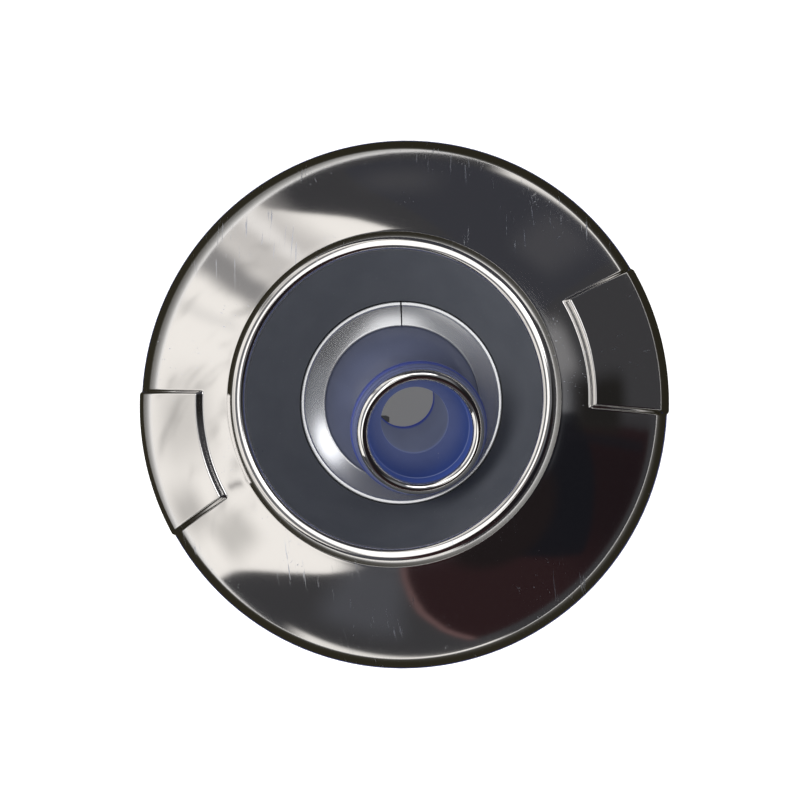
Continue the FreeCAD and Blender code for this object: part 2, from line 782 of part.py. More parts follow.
# Ball nozzle: ball, neck and stepped collar in one moulding, drawn about the ball's centre
nozzle = new_body("ball_nozzle")
ball_bend = D["ball_radius"]
neck_start = arc_radius(ball_bend, D["neck_radius"])
cut_radius = arc_radius(ball_bend, D["ball_cut"])
step = D["collar_step"]
collar_height = D["mouth_height"] - D["collar_start"]
revolve(nozzle, "Moulding", [
    (D["tube_inlet_radius"], -D["ball_cut"]),
    (cut_radius, -D["ball_cut"]),
    (D["neck_radius"], neck_start, ball_bend, 1),
    (D["neck_radius"], D["collar_start"] - D["neck_fillet"]),
    (D["neck_radius"] + D["neck_fillet"], D["collar_start"], D["neck_fillet"], -1),
    (D["collar_radius"] - D["collar_edge"], D["collar_start"] + D["collar_rise"]),
    (D["collar_radius"], D["collar_start"] + D["collar_rise"] + D["collar_edge"], D["collar_edge"], 1),
    (D["collar_radius"], D["collar_start"] + collar_height * 0.42),
    (D["collar_radius"] - step, D["collar_start"] + collar_height * 0.5),
    (D["collar_radius"] - step, D["collar_start"] + collar_height * 0.72),
    (D["collar_radius"] - 2.0 * step, D["collar_start"] + collar_height * 0.8),
    (D["collar_radius"] - 2.0 * step, D["mouth_height"]),
    (D["mouth_radius"], D["mouth_height"]),
    (D["mouth_radius"], D["mouth_height"] - D["mouth_depth"]),
    (D["throat_radius"], D["throat_height"], D["throat_bend"], -1),
    (D["throat_radius"] - D["throat_step"], D["throat_height"] - D["throat_step"]),
    (D["tube_radius"], D["tube_height"]),
])

lean_over(nozzle)

# Trim ring: half-round chrome ring on the mouth
trim = new_body("nozzle_trim_ring")
trim_foot = D["mouth_height"] + D["face_gap"]
revolve(trim, "Bead", [
    (D["mouth_radius"], trim_foot),
    (D["trim_outer_radius"], trim_foot),
    (D["trim_outer_radius"], trim_foot + D["trim_side"]),
    (D["mouth_radius"], trim_foot + D["trim_side"], D["trim_bend"], 1),
])
lean_over(trim)

# Throttle sleeve: carries the housing on a ledge, turns with the face and shuts the ports with two legs
sleeve = new_body("throttle_sleeve")
barrel_bore = sleeve_outer + D["running_gap"]
barrel_floor_top = D["barrel_floor_height"] + D["barrel_floor"]
sleeve_bottom = barrel_floor_top + D["lower_washer_thickness"] + D["sleeve_float"]
ledge_top = floor_under - D["face_gap"]
flange_top = seat - D["hub_depth"] - D["face_gap"]
flange_bottom = flange_top - D["sleeve_flange"]
revolve(sleeve, "Tube", [
    (sleeve_inner, sleeve_bottom),
    (sleeve_outer, sleeve_bottom),
    (sleeve_outer, flange_bottom),
    (D["sleeve_flange_radius"], flange_bottom),
    (D["sleeve_flange_radius"], flange_top),
    (sleeve_outer, flange_top),
    (sleeve_outer, housing_top),
    (sleeve_inner, housing_top),
    (sleeve_inner, ledge_top),
    (D["sleeve_ledge_radius"], ledge_top),
    (D["sleeve_ledge_radius"], ledge_top - D["sleeve_ledge"]),
    (sleeve_inner, ledge_top - 2.0 * D["sleeve_ledge"]),
])


def cut_ports(body, inner, outer, bottom):
    """A wide port on each side, through the wall from inner to outer, up from bottom."""
    before = volume_of(body)
    reach = D["cut_reach"]
    port_top = D["port_bottom"] + D["port_height"]
    port = revolve(
        body,
        "Port",
        [
            (inner - reach, bottom),
            (outer + reach, bottom),
            (outer + reach, port_top),
            (inner - reach, port_top),
        ],
        span=D["port_width"],
        turn=D["port_side_angle"],
        remove=True,
    )
    pattern(body, "BothPorts", [port], Size(2, "2"))
    must_change(body, before, "the ports", False)


cut_ports(sleeve, sleeve_inner, sleeve_outer, sleeve_bottom - D["cut_reach"])

# Barrel: ported tube with a wider band at the top, a floor, a tail and three bayonet lugs
barrel = new_body("barrel")
barrel_outer = barrel_bore + D["barrel_wall"]
barrel_top = seat - D["barrel_top"]
band_radius = D["barrel_band_radius"]
band_bottom = seat - D["barrel_band_height"]
counterbore = D["sleeve_flange_radius"] + D["running_gap"]
shoulder = flange_bottom - D["washer_thickness"] - D["shoulder_room"]
snap_bottom = seat - D["hub_shoulder_depth"] + D["snap_float"]
snap_top = snap_bottom + D["snap_thickness"] + D["snap_groove_gap"]


# Depth and half width of an O-ring's groove, as shares of the ring's section
GROOVE_SHARE = 0.88
GROOVE_HALF_WIDTH = 0.55


def groove_corners(radius, section, height, outward):
    """Corners of a square groove for an O-ring, from below to above."""
    depth = section + D["face_gap"] if outward else section * -GROOVE_SHARE
    half = section * GROOVE_HALF_WIDTH
    return [
        (radius, height - half),
        (radius - depth, height - half),
        (radius - depth, height + half),
        (radius, height + half),
    ]


barrel_corners = [
    (D["tail_bore"], Size.of(0)),
    (D["tail_radius"], Size.of(0)),
]
barrel_corners += groove_corners(D["tail_radius"], D["tail_seal_section"], D["tail_seal_height"], True)
barrel_corners += [
    (D["tail_radius"], D["barrel_floor_height"]),
    (barrel_outer, D["barrel_floor_height"] + D["barrel_chamfer"]),
    (barrel_outer, band_bottom - D["barrel_chamfer"]),
    (band_radius, band_bottom),
]
barrel_corners += groove_corners(band_radius, D["barrel_seal_section"], D["barrel_seal_height"], True)
barrel_corners += [
    (band_radius, barrel_top),
    (counterbore, barrel_top),
    (counterbore, snap_top),
    (counterbore + D["snap_groove_depth"], snap_top),
    (counterbore + D["snap_groove_depth"], snap_bottom - D["snap_groove_gap"]),
    (counterbore, snap_bottom - D["snap_groove_gap"]),
    (counterbore, shoulder),
    (barrel_bore, shoulder),
]
bore_groove = groove_corners(barrel_bore, D["sleeve_seal_section"], D["sleeve_seal_height"], False)
barrel_corners += bore_groove[::-1]
barrel_corners += [
    (barrel_bore, barrel_floor_top),
    (D["tail_bore"], barrel_floor_top),
]
revolve(barrel, "Tube", barrel_corners)
volume = volume_of(barrel)
lug = revolve(
    barrel,
    "Lug",
    [
        (barrel_outer - D["lug_bite"], D["lug_height"]),
        (band_radius - D["lug_chamfer"], D["lug_height"]),
        (band_radius, D["lug_height"] + D["lug_chamfer"]),
        (band_radius, D["lug_height"] + D["lug_thickness"]),
        (barrel_outer - D["lug_bite"], D["lug_height"] + D["lug_thickness"]),
    ],
    span=D["lug_span"],
)
pattern(barrel, "Lugs", [lug], Size(3, "3"))
must_change(barrel, volume, "the lugs", True)
cut_ports(barrel, barrel_bore, barrel_outer, D["port_bottom"])


def washer(label, inner, outer, bottom, thickness):
    body = new_body(label)
    revolve(body, "Washer", [
        (inner, bottom),
        (outer, bottom),
        (outer, bottom + thickness),
        (inner, bottom + thickness),
    ])
    return body


washer(
    "upper_thrust_washer",
    barrel_bore + D["washer_edge_gap"],
    counterbore - D["washer_edge_gap"],
    shoulder + D["slack"],
    D["washer_thickness"],
)
washer(
    "lower_thrust_washer",
    sleeve_inner - D["lower_washer_inner_lap"],
    barrel_bore - D["lower_washer_outer_gap"],
    barrel_floor_top + D["face_gap"],
    D["lower_washer_thickness"],
)

# Snap ring: split ring in the barrel's groove, over the hub's shoulder
snap = new_body("snap_ring")
snap_inner = hub_outer + D["snap_hub_gap"]
snap_outer = counterbore + D["snap_groove_depth"] - D["snap_float"]
revolve(
    snap,
    "Ring",
    [
        (snap_inner, snap_bottom),
        (snap_outer, snap_bottom),
        (snap_outer, snap_bottom + D["snap_thickness"]),
        (snap_inner, snap_bottom + D["snap_thickness"]),
    ],
    span=360.0 - D["snap_opening"],
)

# O-rings on the band and the tail, drawn as the body's bore squeezes them, and the one in the barrel's bore
seal_ring(
    "barrel_o_ring",
    band_radius - D["barrel_seal_section"] / 2.0,
    D["barrel_seal_section"],
    D["barrel_seal_height"],
)
seal_ring(
    "tail_o_ring",
    D["tail_radius"] - D["tail_seal_section"] / 2.0,
    D["tail_seal_section"],
    D["tail_seal_height"],
)
seal_ring(
    "sleeve_o_ring",
    barrel_bore + D["sleeve_seal_section"] * (GROOVE_SHARE - 0.5) - D["sleeve_seal_squeeze"],
    D["sleeve_seal_section"],
    D["sleeve_seal_height"],
)

# Venturi nozzle: tapers from the tail's bore to a tip below the ball
venturi = new_body("venturi_nozzle")
tail_fit = D["tail_bore"] - D["fit_gap"]
revolve(venturi, "Taper", [
    (D["inlet_radius"], D["inlet_bottom"]),
    (tail_fit, D["inlet_bottom"]),
    (tail_fit, D["inlet_bottom"] + D["inlet_straight"]),
    (D["inlet_radius"] + D["inlet_wall"], D["inlet_bottom"] + D["inlet_straight"] + D["inlet_chamfer"]),
    (D["venturi_radius"] + D["inlet_wall"] * 0.8, D["venturi_height"]),
    (D["venturi_radius"], D["venturi_height"]),
    (D["inlet_radius"], D["inlet_bottom"] + D["inlet_straight"], D["inlet_bend"], 1),
])

# Inlet vanes: a ring with short fins on its inside, which straighten the flow
vanes = new_body("inlet_vanes")
vane_radius = D["inlet_radius"] - D["fit_gap"]
vane_bottom = D["inlet_bottom"] + D["vane_recess"]
vane_inner = vane_radius - D["vane_ring_wall"]
revolve(vanes, "Ring", [
    (vane_inner, vane_bottom),
    (vane_radius, vane_bottom),
    (vane_radius, vane_bottom + D["vane_height"]),
    (vane_inner, vane_bottom + D["vane_height"]),
])
volume = volume_of(vanes)
fin_sketch = raised_sketch(vanes, "FinOutline", vane_bottom)
draw_outline(fin_sketch, [
    (vane_radius - D["vane_reach"], -D["vane_thickness"] / 2.0),
    (vane_radius - D["vane_ring_wall"] / 2.0, -D["vane_thickness"] / 2.0),
    (vane_radius - D["vane_ring_wall"] / 2.0, D["vane_thickness"] / 2.0),
    (vane_radius - D["vane_reach"], D["vane_thickness"] / 2.0),
])
fin = vanes.newObject("PartDesign::Pad", "Fin")
fin.Profile = fin_sketch
fin.setExpression("Length", D["vane_height"].text)
pattern(vanes, "Fins", [fin], D["vane_count"])
must_change(vanes, volume, "the fins", True)

document.recompute()

NODES = (
    "escutcheon_cover",
    "face_plate",
    "funnel",
    "funnel_screws",
    "socket_ring",
    "ball_housing",
    "ball_seat_ring",
    "seat_o_ring",
    "ball_nozzle",
    "nozzle_trim_ring",
    "throttle_sleeve",
    "sleeve_o_ring",
    "upper_thrust_washer",
    "lower_thrust_washer",
    "snap_ring",
    "barrel",
    "barrel_o_ring",
    "tail_o_ring",
    "venturi_nozzle",
    "inlet_vanes",
)

for item in document.Objects:
    if "Invalid" in item.State or "Error" in item.State:
        raise RuntimeError(f"{item.Name} failed: {item.State}")
pieces = {label: document.getObjectsByLabel(label)[0] for label in NODES}
for label, piece in pieces.items():
    if piece.Shape.isNull() or not piece.Shape.isValid():
        raise RuntimeError(f"{label} has no valid shape")
for label, piece in pieces.items():
    piece.Shape.exportStep(f"parts/{label}.step")
    print(f"{label}: {len(piece.Shape.Solids)} solid, volume {piece.Shape.Volume:.0f}")
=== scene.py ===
"""Looks of the hot tub jet insert: polished face, grey funnel, blue ball nozzle and ported barrel."""

import json
import logging
import math
from dataclasses import dataclass, field
from enum import Enum
from typing import Callable, Optional, Sequence, Union

import bmesh
import bpy
import numpy as np
from mathutils import Matrix, Vector


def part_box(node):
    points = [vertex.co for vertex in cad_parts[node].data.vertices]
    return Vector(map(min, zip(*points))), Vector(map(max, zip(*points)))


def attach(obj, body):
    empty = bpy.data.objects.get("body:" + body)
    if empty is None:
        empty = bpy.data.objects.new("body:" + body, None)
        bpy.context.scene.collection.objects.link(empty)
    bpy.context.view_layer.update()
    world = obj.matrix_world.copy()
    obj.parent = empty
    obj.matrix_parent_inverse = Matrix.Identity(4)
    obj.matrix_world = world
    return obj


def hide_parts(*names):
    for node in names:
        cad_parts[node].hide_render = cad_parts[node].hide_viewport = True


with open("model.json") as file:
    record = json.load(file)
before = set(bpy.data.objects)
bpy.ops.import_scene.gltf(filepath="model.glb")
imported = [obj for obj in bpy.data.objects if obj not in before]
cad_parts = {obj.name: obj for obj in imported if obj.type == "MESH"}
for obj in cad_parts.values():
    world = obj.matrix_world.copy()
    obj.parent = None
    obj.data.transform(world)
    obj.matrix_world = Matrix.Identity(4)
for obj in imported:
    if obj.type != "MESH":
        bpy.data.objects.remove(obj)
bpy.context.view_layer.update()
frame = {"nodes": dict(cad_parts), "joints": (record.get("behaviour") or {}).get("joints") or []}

MM = 0.001
LOG = logging.getLogger("jet")

Number = Union[float, "Field"]
Colour = tuple[float, float, float]
Point = tuple[float, float]


def grey(level: float) -> Colour:
    """A neutral colour of one level."""
    return (level, level, level)


class Field:
    """An output socket of a shader tree that can be used in Python arithmetic."""

    def __init__(self, shading: "Shading", socket: bpy.types.NodeSocket) -> None:
        """Keeps the tree that the socket belongs to."""
        self.shading = shading
        self.socket = socket

    def _math(self, operation: str, *values: Number) -> "Field":
        """One Math node on this field and other values."""
        return self.shading.maths(operation, *values)

    def __add__(self, other: Number) -> "Field":
        """Sum."""
        return self._math("ADD", self, other)

    def __radd__(self, other: Number) -> "Field":
        """Sum with a number on the left."""
        return self._math("ADD", other, self)

    def __sub__(self, other: Number) -> "Field":
        """Difference."""
        return self._math("SUBTRACT", self, other)

    def __rsub__(self, other: Number) -> "Field":
        """Difference from a number on the left."""
        return self._math("SUBTRACT", other, self)

    def __mul__(self, other: Number) -> "Field":
        """Product."""
        return self._math("MULTIPLY", self, other)

    def __rmul__(self, other: Number) -> "Field":
        """Product with a number on the left."""
        return self._math("MULTIPLY", other, self)

    def __truediv__(self, other: Number) -> "Field":
        """Quotient."""
        return self._math("DIVIDE", self, other)

    def __pow__(self, other: Number) -> "Field":
        """Power."""
        return self._math("POWER", self, other)


class Shading:
    """Builds one shader tree, for a material or for the world."""

    def __init__(self, tree: bpy.types.NodeTree) -> None:
        """Starts from an empty tree.

        Args:
            tree: The node tree of a material or of the world.
        """
        self.tree = tree
        tree.nodes.clear()

    def node(
        self, kind: str, settings: Optional[dict] = None, inputs: Optional[dict] = None
    ) -> bpy.types.Node:
        """Adds a node.

        Args:
            kind: The node's type name.
            settings: Properties of the node, set before its sockets.
            inputs: Values or links of its sockets, by name or number.

        Returns:
            The new node.
        """
        made = self.tree.nodes.new(kind)
        for name, value in (settings or {}).items():
            setattr(made, name, value)
        for name, value in (inputs or {}).items():
            self.feed(made.inputs[name], value)
        return made

    def feed(self, socket: bpy.types.NodeSocket, value: object) -> None:
        """Links a field to a socket, or sets its value.

        Args:
            socket: The input socket.
            value: A field, a socket, a colour or a number.
        """
        if isinstance(value, Field):
            self.tree.links.new(value.socket, socket)
        elif isinstance(value, bpy.types.NodeSocket):
            self.tree.links.new(value, socket)
        elif isinstance(value, tuple) and len(value) == 3 and socket.type == "RGBA":
            socket.default_value = (*value, 1.0)
        else:
            socket.default_value = value

    def out(self, node: bpy.types.Node, name: Union[str, int] = 0) -> Field:
        """A node's output as a field."""
        return Field(self, node.outputs[name])

    def maths(self, operation: str, *values: Number) -> Field:
        """A Math node on numbers and fields."""
        return self.out(self.node("ShaderNodeMath", {"operation": operation}, dict(enumerate(values))))

    def vector(self, x: Number, y: Number, z: Number) -> Field:
        """A vector from three numbers or fields."""
        return self.out(self.node("ShaderNodeCombineXYZ", None, {0: x, 1: y, 2: z}))

    def mix(self, share: Number, first: object, second: object) -> Field:
        """Mixes two colours.

        Args:
            share: How much of the second shows.
            first: The first colour.
            second: The second colour.

        Returns:
            The mixed colour.
        """
        settings = {"data_type": "RGBA", "clamp_factor": True}
        made = self.node("ShaderNodeMix", settings, {0: share, 6: first, 7: second})
        return self.out(made, 2)

    def smooth(self, value: Number, low: float, high: float) -> Field:
        """Goes smoothly from 0 at low to 1 at high.

        Args:
            value: The value that is looked at.
            low: Where the step begins.
            high: Where it ends.

        Returns:
            The step.
        """
        settings = {"interpolation_type": "SMOOTHSTEP"}
        inputs = {"Value": value, "From Min": low, "From Max": high, "To Min": 0.0, "To Max": 1.0}
        return self.out(self.node("ShaderNodeMapRange", settings, inputs))

    def noise(self, place: object, scale: float, detail: float = 3.0, roughness: float = 0.5) -> Field:
        """Noise from 0 to 1 at a place.

        Args:
            place: The place, a vector.
            scale: Cells per unit.
            detail: How many finer layers.
            roughness: How strong the finer layers are.

        Returns:
            The noise.
        """
        inputs = {"Vector": place, "Scale": scale, "Detail": detail, "Roughness": roughness}
        return self.out(self.node("ShaderNodeTexNoise", None, inputs), "Fac")

    def split(self, place: object) -> tuple[Field, Field, Field]:
        """The three coordinates of a vector."""
        made = self.node("ShaderNodeSeparateXYZ", None, {0: place})
        return self.out(made, 0), self.out(made, 1), self.out(made, 2)


class Material(Shading):
    """A material with one Principled shader, on Object coordinates in millimetres."""

    def __init__(self, name: str, turn: Optional[Matrix] = None) -> None:
        """Makes the material.

        Args:
            name: The material's name.
            turn: Where the pattern's own axis and centre lie, for a leaning piece.
        """
        self.material = bpy.data.materials.new(name)
        self.material.use_nodes = True
        super().__init__(self.material.node_tree)
        self.output = self.node("ShaderNodeOutputMaterial")
        self.shader = self.node("ShaderNodeBsdfPrincipled")
        self.tree.links.new(self.shader.outputs[0], self.output.inputs[0])
        coordinates = self.out(self.node("ShaderNodeTexCoord"), "Object")
        settings = {"vector_type": "POINT"}
        inputs = {"Vector": coordinates, "Scale": grey(1.0 / MM)}
        if turn is not None:
            settings = {"vector_type": "TEXTURE"}
            inputs = {
                "Vector": coordinates,
                "Location": tuple(turn.translation),
                "Rotation": tuple(turn.to_euler()),
                "Scale": grey(MM),
            }
        self.place = self.out(self.node("ShaderNodeMapping", settings, inputs))
        self.x, self.y, self.z = self.split(self.place)
        self.radius = self.maths("SQRT", self.x * self.x + self.y * self.y)

    def around(self, turns: float, across: float) -> Field:
        """A place for patterns that run round the axis: slow along the turn, fast across it.

        Args:
            turns: Scale along the turn.
            across: Scale across it.

        Returns:
            The place.
        """
        safe = self.maths("MAXIMUM", self.radius, 0.01)
        outward = (self.radius + self.z * 0.7) * across
        return self.vector(self.x / safe * turns, self.y / safe * turns, outward)

    def set(self, **values: object) -> None:
        """Sets the shader's sockets by name, with underscores for spaces."""
        for name, value in values.items():
            self.feed(self.shader.inputs[name.replace("_", " ")], value)

    def bump(self, height: Field, strength: float, distance: float) -> None:
        """Adds a bump.

        Args:
            height: The bump's height from 0 to 1.
            strength: How strongly it shows.
            distance: Its depth in metres.
        """
        inputs = {"Height": height, "Strength": strength, "Distance": distance}
        made = self.node("ShaderNodeBump", None, inputs)
        self.feed(self.shader.inputs["Normal"], self.out(made))


@dataclass(frozen=True)
class PolishedSteel:
    """Mirror polished stainless sheet with turned polishing lines and light scuffs."""

    colour: Colour = (0.70, 0.685, 0.67)
    scuff_colour: Colour = (0.60, 0.66, 0.80)
    roughness: float = 0.055
    scuff_roughness: float = 0.26

    def build(self, name: str) -> bpy.types.Material:
        """Makes the material.

        Args:
            name: The material's name.

        Returns:
            The material.
        """
        made = Material(name)
        lines = made.noise(made.around(6.0, 5.0), 1.0, 4.0, 0.7)
        broad = made.noise(made.place, 0.035, 2.0)
        strokes = made.noise(made.around(90.0, 1.4), 1.0, 2.0, 0.6)
        patches = made.smooth(made.noise(made.place, 0.06, 3.0, 0.6), 0.5, 0.62)
        sway = made.noise(made.place, 0.04, 1.0) * 5.0
        lengthwise = made.vector(made.x * 1.5 + made.y * 0.12 + sway, made.y * 0.08, made.z * 0.05)
        scratches = made.smooth(made.noise(lengthwise, 1.0, 3.0, 0.62), 0.615, 0.66)
        worn = made.smooth(made.noise(made.place, 0.055, 2.0, 0.5), 0.46, 0.58)
        worn = worn * made.smooth(made.maths("ABSOLUTE", made.y), 24.0, 40.0)
        fine = made.smooth(made.noise(made.vector(made.x * 5.0, made.y * 0.5, 9.0), 1.0, 2.0), 0.72, 0.76)
        scuffs = made.maths("MAXIMUM", made.smooth(strokes, 0.66, 0.72) * patches, scratches * worn)
        scuffs = made.maths("MAXIMUM", scuffs, fine * worn)
        made.set(
            Base_Color=made.mix(scuffs * 0.55, self.colour, self.scuff_colour),
            Metallic=1.0,
            Roughness=self.roughness + lines * 0.03 + broad * 0.03 + scuffs * self.scuff_roughness,
        )
        made.bump(lines, 0.05, 0.00002)
        return made.material


@dataclass(frozen=True)
class Chrome:
    """Bright plated metal."""

    colour: Colour = (0.80, 0.79, 0.77)
    roughness: float = 0.05
    lines: float = 0.02
    metallic: float = 1.0
    pitting: float = 0.6

    def build(self, name: str, turn: Optional[Matrix] = None) -> bpy.types.Material:
        """Makes the material, with its lines round the given axis.

        Args:
            name: The material's name.
            turn: Where the piece's own axis lies, for a leaning piece.

        Returns:
            The material.
        """
        made = Material(name, turn)
        lines = made.noise(made.around(4.0, 6.0), 1.0, 3.0, 0.6)
        pits = made.smooth(made.noise(made.place, 3.1, 2.0), 0.68, 0.76) * self.pitting
        made.set(
            Base_Color=made.mix(pits * 0.4, self.colour, grey(0.45)),
            Metallic=self.metallic,
            Roughness=self.roughness + lines * self.lines + pits * 0.18,
        )
        made.bump(lines, 0.06, 0.00002)
        return made.material


@dataclass(frozen=True)
class Plastic:
    """Moulded plastic with a faint turned texture, mottling and specks of dust, and a painted glow where glow
    is set.
    """

    colour: Colour
    shade: Colour
    roughness: float = 0.32
    gloss: float = 0.5
    turned: float = 0.5
    dust: float = 0.2
    # painted light: an emission that makes the part glow, though it is no lamp
    glow: float = 0.0

    def build(self, name: str, turn: Optional[Matrix] = None) -> bpy.types.Material:
        """Makes the material, with its turned lines round the given axis.

        Args:
            name: The material's name.
            turn: Where the piece's own axis lies, for a leaning piece.

        Returns:
            The material.
        """
        made = Material(name, turn)
        lines = made.noise(made.around(3.0, 2.6), 1.0, 3.0, 0.6)
        mottle = made.noise(made.place, 0.11, 4.0, 0.55)
        grain = made.noise(made.place, 7.0, 2.0)
        specks = made.smooth(made.noise(made.place, 2.3, 1.0), 0.74, 0.80) * self.dust
        base = made.mix(made.smooth(mottle, 0.3, 0.7), self.shade, self.colour)
        made.set(
            Base_Color=made.mix(specks, base, grey(0.45)),
            Roughness=self.roughness + (mottle - 0.5) * 0.12 + specks * 0.4,
            Specular_IOR_Level=self.gloss,
            # painted glow, where glow is set
            Emission_Color=base,
            Emission_Strength=self.glow,
        )
        made.bump(lines * self.turned + grain * (1.0 - self.turned), 0.18, 0.00005)
        return made.material


@dataclass(frozen=True)
class BluePlastic:
    """Translucent blue moulding: milky on the ball; deeper blue painted shade at the collar's foot and at the
    tube's far end, and painted shade, painted highlight lines and a painted glow in the mouth.
    """

    milky: Colour = (0.125, 0.142, 0.225)
    lavender: Colour = (0.108, 0.128, 0.255)
    # painted shade: deeper, darker blue at the collar's foot where it meets the neck, and at the tube's far
    # end
    painted_shade_blue: Colour = (0.028, 0.050, 0.290)
    # painted shade and light inside the mouth: a dark band just under the mouth, darker near the mouth and
    # lighter toward the throat, and a lighter tube wall below the throat
    rim: Colour = (0.030, 0.055, 0.205)
    tube: Colour = (0.145, 0.165, 0.245)
    bore_painted_shade: Colour = (0.022, 0.042, 0.160)
    throat: Colour = (0.070, 0.088, 0.185)
    # painted highlight lines at the steps inside the mouth
    pale: Colour = (0.170, 0.205, 0.360)
    # painted light: the inside of the mouth glows, though it is no lamp
    glow: float = 0.42

    def build(self, name: str, nozzle: "Nozzle") -> bpy.types.Material:
        """Makes the material.

        Args:
            name: The material's name.
            nozzle: The nozzle whose sizes place the tones.

        Returns:
            The material, on the nozzle's own axis.
        """
        made = Material(name, nozzle.turn)
        mottle = made.noise(made.place, 0.13, 4.0, 0.55)
        lines = made.noise(made.around(2.0, 1.6), 1.0, 2.0, 0.5)
        specks = made.smooth(made.noise(made.place, 2.1, 1.0), 0.75, 0.80) * 0.25
        collar = made.smooth(made.z, nozzle.collar_start - 1.5, nozzle.collar_start + 0.6)
        # painted shade at the collar's foot
        foot = collar * (1.0 - made.smooth(made.z, nozzle.collar_start + 1.6, nozzle.collar_start + 3.0))
        # inside the mouth, where the painted shade, painted light and glow go
        inside = 1.0 - made.smooth(made.radius, nozzle.mouth - 0.05, nozzle.mouth + 0.25)
        lip = inside * made.smooth(made.z, nozzle.mouth_height - 4.2, nozzle.mouth_height - 3.0)
        low = 1.0 - made.smooth(made.z, nozzle.throat_height - 0.6, nozzle.throat_height - 0.2)
        end = inside * (1.0 - made.smooth(made.z, nozzle.tube_height + 1.0, nozzle.tube_height + 3.0))
        base = made.mix(made.smooth(mottle, 0.25, 0.75), grey(0.9), grey(1.0))
        colour = made.mix(collar, self.milky, self.lavender)
        colour = made.mix(foot, colour, self.painted_shade_blue)
        # painted shading: darker near the mouth, lighter toward the throat
        bore_painted_shading = made.smooth(made.z, nozzle.throat_height - 1.0, nozzle.mouth_height - 4.0)
        colour = made.mix(inside, colour, made.mix(bore_painted_shading, self.throat, self.bore_painted_shade))
        # painted highlight line below the mouth's step
        line = 1.0 - made.smooth(made.maths("ABSOLUTE", made.z - (nozzle.mouth_height - 3.4)), 0.1, 0.35)
        # painted shade: dark band just under the mouth
        colour = made.mix(lip, colour, self.rim)
        colour = made.mix(inside * line, colour, self.pale)
        # painted light: lighter tube wall below the throat
        colour = made.mix(inside * low, colour, self.tube)
        # painted highlight line at the throat's step
        rim = 1.0 - made.smooth(made.maths("ABSOLUTE", made.z - (nozzle.throat_height - 1.0)), 0.2, 0.9)
        colour = made.mix(inside * rim, colour, self.pale)
        # painted shade at the tube's far end
        colour = made.mix(end, colour, self.painted_shade_blue)
        colour = made.mix(specks, colour, grey(0.4))
        settings = {"data_type": "RGBA", "blend_type": "MULTIPLY"}
        full = made.out(made.node("ShaderNodeMix", settings, {0: 1.0, 6: colour, 7: base}), 2)
        made.set(
            Base_Color=full,
            Roughness=0.30 + (mottle - 0.5) * 0.10 + specks * 0.4,
            Specular_IOR_Level=0.45,
            # painted glow: only the inside of the mouth emits its colour
            Emission_Color=made.mix(inside, grey(0.0), full),
            Emission_Strength=self.glow,
        )
        made.bump(lines, 0.12, 0.00004)
        return made.material


@dataclass(frozen=True)
class Rubber:
    """Smooth black seal rubber with faint lighter patches of bloom."""

    colour: Colour = (0.018, 0.018, 0.019)

    def build(self, name: str) -> bpy.types.Material:
        """Makes the material.

        Args:
            name: The material's name.

        Returns:
            The material.
        """
        made = Material(name)
        grain = made.noise(made.place, 5.0, 3.0)
        bloom = made.smooth(made.noise(made.place, 0.3, 3.0), 0.45, 0.75)
        made.set(
            Base_Color=made.mix(bloom * 0.5, self.colour, grey(0.05)),
            Roughness=0.42 + bloom * 0.2,
        )
        made.bump(grain, 0.2, 0.00004)
        return made.material


class Bend(Enum):
    """Side of the chord on which an arc's centre lies."""

    LEFT = 1
    RIGHT = -1


@dataclass
class Outline:
    """A section in the plane of radius and height, in millimetres."""

    points: list[Point] = field(default_factory=list)
    spacing: float = 0.6

    def line(self, x: float, y: float) -> "Outline":
        """Adds a straight run to a point."""
        self.points.append((x, y))
        return self

    def lines(self, *corners: Point) -> "Outline":
        """Adds straight runs through corners."""
        self.points.extend(corners)
        return self

    def arc(self, x: float, y: float, bend: float, side: Bend) -> "Outline":
        """Adds an arc to a point.

        Args:
            x: End radius.
            y: End height.
            bend: The arc's own radius.
            side: Where its centre lies, looking along the chord.

        Returns:
            The outline itself.
        """
        start = Vector(self.points[-1])
        end = Vector((x, y))
        chord = end - start
        reach = math.sqrt(max(bend * bend - chord.length_squared / 4.0, 0.0))
        across = Vector((-chord.y, chord.x)).normalized()
        centre = (start + end) / 2.0 + across * reach * side.value
        first = math.atan2(start.y - centre.y, start.x - centre.x)
        last = math.atan2(end.y - centre.y, end.x - centre.x)
        sweep = last - first
        while side is Bend.LEFT and sweep < 0.0:
            sweep += math.tau
        while side is Bend.RIGHT and sweep > 0.0:
            sweep -= math.tau
        steps = max(2, math.ceil(abs(sweep) * bend / self.spacing), math.ceil(abs(sweep) / 0.2))
        for step in range(1, steps + 1):
            angle = first + sweep * step / steps
            self.points.append((centre.x + bend * math.cos(angle), centre.y + bend * math.sin(angle)))
        return self


def new_piece(name: str, vertices: Sequence, faces: Sequence, sharp: float = 40.0) -> bpy.types.Object:
    """Makes a smooth-shaded mesh object at the origin.

    Args:
        name: The piece's name.
        vertices: Places in metres.
        faces: Vertex numbers of each face.
        sharp: Edges that turn by more degrees than this stay sharp.

    Returns:
        The linked object.
    """
    mesh = bpy.data.meshes.new(name)
    mesh.from_pydata([tuple(v) for v in vertices], [], faces)
    mesh.update()
    editor = bmesh.new()
    editor.from_mesh(mesh)
    bmesh.ops.recalc_face_normals(editor, faces=editor.faces)
    editor.to_mesh(mesh)
    editor.free()
    mesh.shade_smooth()
    mesh.set_sharp_from_angle(angle=math.radians(sharp))
    piece = bpy.data.objects.new(name, mesh)
    bpy.context.scene.collection.objects.link(piece)
    return piece


